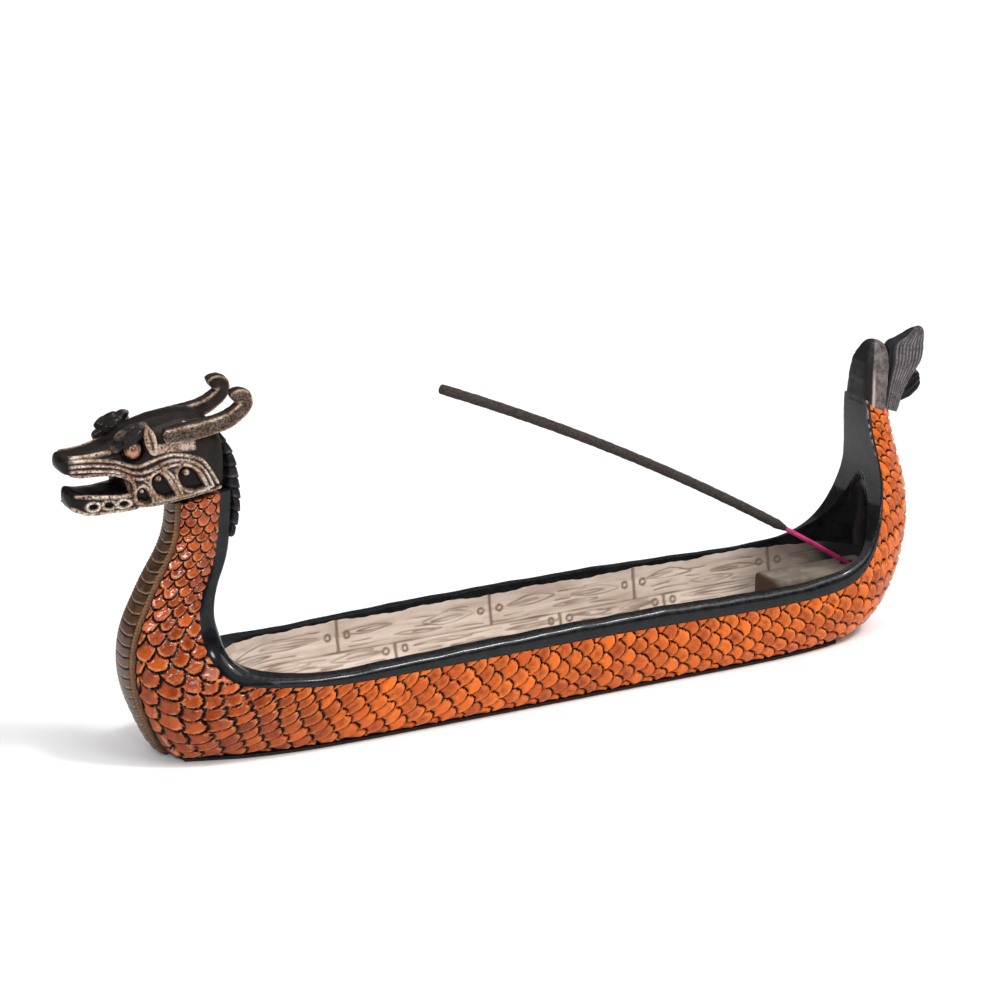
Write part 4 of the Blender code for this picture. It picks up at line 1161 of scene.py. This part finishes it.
def face_carving(x, z):
    """Relief of the face in side view.  Flowing lines are bell-shaped ridges with a groove on both
    sides, cheek commas and jaw holes are sunk, and each comma holds a small bulb."""
    near = np.full(x.shape, 9.0)
    for path in FACE_LINES:
        near = np.minimum(near, line_distance(x, z, path))
    ridge = bell(near, LINE_SPREAD)
    groove = bell(near - 0.66, 0.26)
    relief = LINE_HEIGHT * ridge - 0.50 * groove
    sunk = np.zeros(x.shape)
    for outline in CHEEK_COMMAS:
        depth = inside_depth(x, z, outline)
        sunk = np.maximum(sunk, smooth(depth / 0.45 + 0.3))
        ridge = np.maximum(ridge, bell(depth + 0.45, 0.34))
        relief = np.maximum(relief, 0.40 * bell(depth + 0.45, 0.34))
    for hole_x, hole_z in JAW_HOLES:
        away = np.hypot((x - hole_x) / 0.95, (z - hole_z) / 0.66)
        sunk = np.maximum(sunk, smooth((1.25 - away) / 0.5))
        ridge = np.maximum(ridge, bell(away - 1.7, 0.45))
    relief = relief * (1 - sunk) - COMMA_DEPTH * sunk * 0.8
    bulb = np.zeros(x.shape)
    for bulb_x, bulb_z, radius in COMMA_BULBS:
        away = np.hypot(x - bulb_x, z - bulb_z) / radius
        bulb = np.maximum(bulb, smooth((1.25 - away) / 0.8))
    relief = relief + (1.55 * sunk) * bulb
    socket = np.hypot(x - EYE[0], z - EYE[2])
    ring = smooth((EYE_SOCKET - socket) / 0.7)
    relief = relief * (1 - ring) - 1.0 * ring
    raised = np.maximum(ridge * (1 - sunk), bulb * sunk) * (1 - ring)
    crease = np.clip(np.maximum(groove * (1 - ridge) * 0.9, sunk * (1 - bulb)) + ring, 0.0, 1.0)
    return relief, raised, crease


def face_surface(slices, count, points_round, mouth_z, mouth_above):
    """Egg-shaped upright sections along the head, fuller below than above, with the face carving
    pushed in where the surface looks sideways."""
    x, middle, half, wide = run_of(slices, count, SLICE_SPREAD)
    sine, cosine = np.sin(turns(points_round)), np.cos(turns(points_round))
    y = wide * squared_off(cosine, np.where(sine > 0, 0.62, 0.34))
    z = middle + half * squared_off(sine, 0.8)
    points = np.stack((np.broadcast_to(x, y.shape), y, z), -1)
    normal = outward(points)
    sideways = smooth((np.abs(normal[..., 1]) - 0.16) / 0.30)
    relief, raised, crease = face_carving(points[..., 0], points[..., 2])
    relief = relief * sideways + 0.05 * ripple(points[..., 0] * 0.7, points[..., 1] * 0.9, 2.0)
    points = points + normal * relief[..., None]
    cheek = smooth((points[..., 0] + 113.0) / 3.0) * smooth((79.5 - points[..., 2]) / 1.5)
    cheek = cheek * smooth((-89.5 - points[..., 0]) / 1.5)
    pale = smooth((points[..., 0] + 103.6) / 0.8) * smooth((-92.4 - points[..., 0]) / 0.8)
    pale = pale * smooth((points[..., 2] - 81.3) / 0.5) * smooth((84.2 - points[..., 2]) / 0.6)
    mottle = np.clip((cheek + 1.1 * pale) * sideways * (1 - crease), 0.0, 1.0)
    mouth = smooth(((points[..., 2] - mouth_z) * mouth_above) / 0.5) * (1 - sideways)
    mouth = mouth * smooth((-108.0 - points[..., 0]) / 1.0)
    snout = smooth((-123.6 - points[..., 0]) / 1.2)
    marks = {"raised": np.clip((raised + 0.8 * pale) * sideways * (1 - snout), 0.0, 1.0), "mottle": mottle,
             "crease": np.clip(crease * sideways + mouth, 0.0, 1.0)}
    return points, marks


def ovoid(name, centre, radii, tilt, side, shape):
    """An ellipsoid on one side of the head, turned about Y; shape gives the share of the radius at
    each pair of angles, and the marks."""
    polar = np.linspace(0.02, math.pi - 0.02, 48)[:, None]
    turn = turns(64)
    unit = np.stack(np.broadcast_arrays(np.sin(polar) * np.cos(turn), np.sin(polar) * np.sin(turn),
                                        np.cos(polar)), -1)
    share, marks = shape(unit)
    local = unit * share[..., None] * np.array(radii)
    cosine, sine = math.cos(tilt), math.sin(tilt)
    x = local[..., 0] * cosine + local[..., 2] * sine
    z = -local[..., 0] * sine + local[..., 2] * cosine
    points = np.stack((centre[0] + x, side * (centre[1] + local[..., 1]), centre[2] + z), -1)
    return surface(name, points, marks, 80)


def brow_shape(unit):
    """Lumpy brow: swellings on the ellipsoid with creases between them."""
    share = np.full(unit.shape[:2], 0.74)
    for direction, size, height in (((-0.9, 0.2, -0.1), 0.16, 0.34), ((-0.45, 0.5, 0.75), 0.16, 0.30),
                                    ((0.25, 0.4, 0.9), 0.14, 0.24), ((0.95, 0.3, 0.35), 0.16, 0.36),
                                    ((-0.2, 0.9, -0.2), 0.18, 0.22), ((0.5, 0.85, 0.0), 0.14, 0.22)):
        toward = np.array(direction) / np.linalg.norm(direction)
        share = np.maximum(share, 0.74 + (height + 0.10) * bell(1 - unit @ toward, size))
    share = share + 0.03 * ripple(unit[..., 0] * 5, unit[..., 2] * 5, 1.0)
    raised = 0.30 * smooth((share - 1.06) / 0.08)
    return share, {"raised": raised, "mottle": 0 * raised, "crease": 0.5 * smooth((0.86 - share) / 0.06)}


def ear_shape(unit):
    """Leaf-shaped ear: narrow at the top, with a groove down both faces."""
    share = 1 - 0.25 * smooth((unit[..., 2] - 0.2) / 0.8) * np.abs(unit[..., 0])
    faces = np.maximum(smooth(-unit[..., 1] / 0.4 + 0.2), smooth(unit[..., 1] / 0.4 + 0.2))
    groove = bell(unit[..., 0] + 0.1, 0.22) * faces * smooth((0.9 - np.abs(unit[..., 2])) / 0.3)
    return share - 0.22 * groove, {"raised": 1 - groove, "mottle": 0.6 + 0 * groove, "crease": 0.6 * groove}


def eye_shape(unit):
    """Round eyeball with a lid crease above it."""
    lid = smooth((unit[..., 2] - 0.45) / 0.2)
    return np.ones(unit.shape[:2]) + 0.04 * lid, {"crease": 0.85 * lid}


def sweep(path, out_radius, up_radius, power, count_round):
    """Carries a superellipse along an upright path of x, z and size; its section stands square to
    the path."""
    slope = np.gradient(path[:, :2], axis=0)
    slope /= np.linalg.norm(slope, axis=1, keepdims=True)
    normal = np.stack((-slope[:, 1], slope[:, 0]), -1)
    turn = turns(count_round)
    across, upright = squared_off(np.cos(turn), power), squared_off(np.sin(turn), power)
    size = path[:, 2:3]
    lift = (size * up_radius * upright)[..., None] * normal[:, None, :]
    spot = path[:, None, :2] + lift
    return stood_up(spot, size * out_radius * across), across, upright


def make_horn(name, side, finish):
    """Horn: a squarish section carried back over the crown and curled up into a bulb."""
    path = through(HORN_PATH, 150)
    share = np.linspace(0.0, 1.0, len(path))[:, None]
    path[:, 2:3] *= round_end(share / 0.02, 0.1)
    path[:, 2:3] *= round_end((1 - share) / 0.06, 0.02)
    points, across, upright = sweep(path, 0.92, 1.0, 0.62, 56)
    points[..., 1] = side * HORN_OUT + points[..., 1]
    rough = 0.07 * ripple(points[..., 0] * 2.1, points[..., 2] * 2.3 + points[..., 1], 5.0)
    points = points + outward(points) * rough[..., None]
    corner = bell(np.abs(across) - 0.86, 0.16) * bell(np.abs(upright) - 0.86, 0.20)
    outer = smooth((across * side - 0.60) / 0.3) * smooth((0.85 - np.abs(upright)) / 0.25)
    marks = {"raised": 1.2 * corner + 0.10 * outer, "mottle": 0.28 * outer,
             "crease": 0.30 * smooth((-upright - 0.85) / 0.1)}
    return settle(surface(name, points, marks, 80), finish, "charcoal", "burner", name)


def make_mane(finish):
    """Mane: a flattened section carried down the nape; its outer edge is notched by a saw wave and
    its sides are ribbed with it."""
    rows = through(MANE_SLICES, 320)
    share = np.linspace(0.0, 1.0, len(rows))[:, None]
    ends = round_end(share / 0.05, 0.03) * round_end((1 - share) / 0.05, 0.03)
    turn = turns(56)
    across, thick = squared_off(np.cos(turn), 0.6), squared_off(np.sin(turn), 0.7)
    phase = share * MANE_TEETH + 0.10 * np.abs(across)
    part = phase - np.floor(phase)
    tooth = 0.62 * part - 0.75 * bell(part, 0.10) - 0.4 * bell(1 - part, 0.06)
    inner, outer = rows[:, None, 0:2], rows[:, None, 2:4]
    middle, reach = (inner + outer) / 2, (outer - inner) / 2
    length = np.linalg.norm(reach, axis=2, keepdims=True)
    grow = (tooth * 0.55 - 0.25)[..., None] * smooth(thick + 0.5)[..., None]
    spot = middle + reach * (ends[..., None] * thick[..., None]) + reach / length * grow
    y = MANE_HALF_WIDTH * (0.55 + 0.45 * ends) * across * (1 - 0.10 * bell(part, 0.12))
    points = stood_up(spot, y)
    points[..., 0] = np.minimum(points[..., 0], MANE_AFT_LIMIT)
    crease = np.maximum(bell(part, 0.10), bell(1 - part, 0.06))
    marks = {"raised": 0.14 * bell(part - 0.80, 0.12), "mottle": np.zeros(part.shape), "crease": crease}
    return settle(surface("mane", points, marks, 70), finish, "black", "burner", "mane_crest")


def make_head(finish, dark, eye_finish, horn_finish):
    """Skull, jaw, eyes, brows, ears and horns."""
    points, marks = face_surface(SKULL_SLICES, 290, 300, SKULL_MOUTH, -1.0)
    settle(surface("skull", points, marks, 80), finish, "charcoal", "burner", "dragon_skull")
    points, marks = face_surface(JAW_SLICES, 120, 220, JAW_MOUTH, 1.0)
    settle(surface("jaw", points, marks, 80), finish, "charcoal", "burner", "lower_jaw")
    for word, side in (("left", -1.0), ("right", 1.0)):
        eye = ovoid("eyeball_" + word, EYE, (EYE_RADIUS,) * 3, 0.0, side, eye_shape)
        settle(eye, eye_finish, "copper", "burner", "eye_" + word)
        brow = ovoid("brow_lump_" + word, BROW, BROW_RADII, BROW_TILT, side, brow_shape)
        settle(brow, dark, "charcoal", "burner", "brow_" + word)
        ear = ovoid("ear_leaf_" + word, EAR, EAR_RADII, EAR_TILT, side, ear_shape)
        settle(ear, finish, "copper", "burner", "ear_" + word)
        make_horn("horn_" + word, side, horn_finish)


# ---------------------------------------------------------------- the tail

def make_lobe(name, slices, finish, node, rays, depth, black_fore, square=0.6, mottled=0.0, out=0.0,
              marked=1.0):
    """One tail lobe: slices from root to tip, each a squared oval from its fore to its aft point,
    ribbed to a depth by rays that run from root to tip, and black ahead of black_fore."""
    rows = through(slices, 150)
    share = np.linspace(0.0, 1.0, len(rows))[:, None]
    tip = round_end((1 - share) / 0.10, 0.02)
    turn = turns(150)
    fore_aft, across = squared_off(np.sin(turn), square + 0.3), squared_off(np.cos(turn), square)
    middle = (rows[:, None, 0:2] + rows[:, None, 2:4]) / 2
    reach = (rows[:, None, 0:2] - rows[:, None, 2:4]) / 2
    bent = fore_aft + 0.03 * ripple(share * 5, fore_aft * 3, 2.0)
    wave = np.cos(math.pi * rays * bent)
    face = smooth((np.abs(np.cos(turn)) - 0.12) / 0.3)
    spot = middle + reach * (fore_aft[..., None] * (0.35 + 0.65 * tip[..., None]))
    wide = rows[:, 4:5] * tip
    points = stood_up(spot, out + (wide - depth * (1 - wave) * face) * across)
    rough = 0.10 * ripple(points[..., 0] * 1.1, points[..., 2] * 1.2, 8.0)
    points = points + outward(points) * rough[..., None]
    points[..., 0] = np.minimum(points[..., 0], AFT_LIMIT)
    fore = smooth((fore_aft - black_fore) / 0.12)
    edge = bell(fore_aft - black_fore + 0.08, 0.10) * smooth((0.60 - share) / 0.3) * mottled
    pale = marked * face * (1 - fore)
    marks = {"worn": edge, "raised": pale * smooth((wave - 0.1) / 0.7) * (1 - mottled),
             "mottle": pale * np.clip(mottled + 0.5 * (0.6 - share), 0.0, 1.0),
             "crease": np.clip(fore + 0.45 * face * smooth((-wave - 0.3) / 0.6) * (1 - mottled), 0, 1)}
    return settle(surface(name, points, marks, 75), finish, "fin", "burner", node)


# ---------------------------------------------------------------- the stick

def stick_line(start, stop, count):
    """Centre line of the stick: a short straight foot in the socket, then one even arc."""
    out = np.array((-math.cos(SOCKET_ANGLE), math.sin(SOCKET_ANGLE)))
    foot = SOCKET_MOUTH - out * (SOCKET_DEPTH - GAP)
    bend = STICK_BEND / (STICK_LENGTH - STRAIGHT_FOOT)
    normal = np.array((-out[1], out[0]))
    way = np.linspace(start, stop, count)
    straight = np.minimum(way, STRAIGHT_FOOT)
    turned = (way - straight) * bend
    return (foot + out * (straight + np.sin(turned) / bend)[:, None]
            + normal * ((1 - np.cos(turned)) / bend)[:, None])


def make_stick(coat_finish, core_finish):
    """Incense stick: the dyed core and the pressed coat, a tube with an uneven skin whose lower
    end tapers onto the core."""
    line = stick_line(0.0, STICK_LENGTH - 2.0, 160)
    size = np.full((len(line), 1), CORE_RADIUS)
    core = sweep(np.concatenate((line, size), axis=1), 1.0, 1.0, 0.8, 12)[0]
    settle(surface("bamboo_core", core), core_finish, "bamboo", "incense_stick", "incense_core")
    line = stick_line(BARE_CORE, STICK_LENGTH, 420)
    share = np.linspace(0.0, STICK_LENGTH - BARE_CORE, len(line))[:, None]
    size = COAT_RADIUS * (1 + 0.02 * np.sin(share * 0.9) + 0.015 * np.sin(share * 2.3))
    size = size * (0.62 + 0.38 * smooth(share / 3.2))
    size = size * round_end((share[-1] - share) / 0.5, 0.3)
    coat = sweep(np.concatenate((line, size), axis=1), 1.0, 1.0, 1.0, 24)[0]
    turn = turns(24)
    grit = chance(np.floor(share * 4), np.floor(turn * 9), 3.0) - 0.5
    rough = 0.035 * ripple(share * 5.1, turn * 3, 1.0) + 0.02 * grit
    coat = coat + outward(coat) * rough[..., None]
    paste = surface("incense_paste", coat, sharp=80)
    settle(paste, coat_finish, "incense", "incense_stick", "incense_coat")


# ---------------------------------------------------------------- studio

def area_light(name, spot, target, size, power):
    """A square soft light that looks at a point."""
    lamp = bpy.data.lights.new(name, "AREA")
    lamp.shape = "RECTANGLE"
    lamp.size, lamp.size_y = size
    lamp.energy = power
    held = bpy.data.objects.new(name, lamp)
    bpy.context.scene.collection.objects.link(held)
    held.location = spot
    held.rotation_euler = (Vector(target) - Vector(spot)).to_track_quat("-Z", "Y").to_euler()


def even_light(name, toward, spread, strength):
    """Far-off soft light that falls the same everywhere; spread is its width in degrees."""
    lamp = bpy.data.lights.new(name, "SUN")
    lamp.angle = math.radians(spread)
    lamp.energy = strength
    held = bpy.data.objects.new(name, lamp)
    bpy.context.scene.collection.objects.link(held)
    held.location = toward
    held.rotation_euler = (-Vector(toward)).to_track_quat("-Z", "Y").to_euler()


def make_studio():
    """Pale floor, even sky, soft lights and the camera."""
    bpy.ops.mesh.primitive_plane_add(size=12.0, location=(0.0, 0.0, 0.0))
    floor = bpy.context.object
    floor.name = "floor"
    floor.data.materials.append(floor_paper())
    world = bpy.data.worlds.new("studio_sky")
    world.use_nodes = True
    world.node_tree.nodes["Background"].inputs["Color"].default_value = (0.94, 0.96, 1.0, 1.0)
    world.node_tree.nodes["Background"].inputs["Strength"].default_value = 0.10
    bpy.context.scene.world = world
    even_light("soft_key", (0.37, -0.42, 0.83), 45.0, 1.55)
    even_light("rim_glint", (0.42, -0.34, 0.84), 9.0, 1.3)
    even_light("low_glint", (-0.10, -0.90, 0.42), 8.0, 0.45)
    even_light("overhead", (-0.05, 0.10, 1.0), 110.0, 1.44)
    area_light("bow_glint", (-0.62, -0.42, 0.50), (-0.1, 0.0, 0.04), (0.12, 0.18), 2.2)
    eye = bpy.data.cameras.new("view")
    eye.lens = CAMERA_LENS
    eye.sensor_width = 36.0
    eye.clip_end = 50.0
    camera = bpy.data.objects.new("view", eye)
    bpy.context.scene.collection.objects.link(camera)
    back = Vector((math.sin(CAMERA_TURN) * math.cos(CAMERA_LIFT),
                   -math.cos(CAMERA_TURN) * math.cos(CAMERA_LIFT), math.sin(CAMERA_LIFT)))
    camera.location = Vector(CAMERA_TARGET) + back * CAMERA_AWAY
    camera.rotation_euler = (-back).to_track_quat("-Z", "Y").to_euler()
    bpy.context.scene.camera = camera
    bpy.context.scene.view_settings.view_transform = "Standard"


paint = black_lacquer("rim_lacquer", worn=0.9)
inner_paint = black_lacquer("inner_lacquer")
charcoal = brushed_charcoal()
dark_charcoal = brushed_charcoal("dark_charcoal", (0.008, 0.007, 0.0065), 0.5)
horn_charcoal = brushed_charcoal("horn_charcoal", (0.014, 0.009, 0.007), 0.72)
mane_charcoal = brushed_charcoal("mane_charcoal", (0.007, 0.007, 0.009), 0.6)
fin = tail_grey()

make_hull(scale_glaze(), inner_paint)
make_rim(paint, inner_paint)
make_breast(breast_bronze())
make_planks(weathered_board())
make_block(dusty_block(), inner_paint)
make_head(charcoal, dark_charcoal, copper_eye(), horn_charcoal)
make_mane(mane_charcoal)
make_lobe("tail_fin_fore", TAIL_FORE, fin, "tail_lobe_fore", rays=2.0, depth=0.10, black_fore=0.45,
          square=0.34, mottled=0.9)
make_lobe("tail_fin_main", TAIL_MAIN, fin, "tail_lobe_main", rays=11.0, depth=0.14, black_fore=0.60)
# The lower lobe is dark charcoal all over, without the pale rays of the other lobes: partly black paint,
# partly painted shade, as it sits in shadow behind the main lobe.
make_lobe("tail_fin_lower", TAIL_LOWER, dark_charcoal, "tail_lobe_lower", rays=3.0, depth=0.12,
          black_fore=2.0, out=1.2, marked=0.0)
make_stick(pressed_incense(), dyed_bamboo())
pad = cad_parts["base_pad"]
pad.data.materials.clear()
pad.data.materials.append(black_felt())
make_studio()
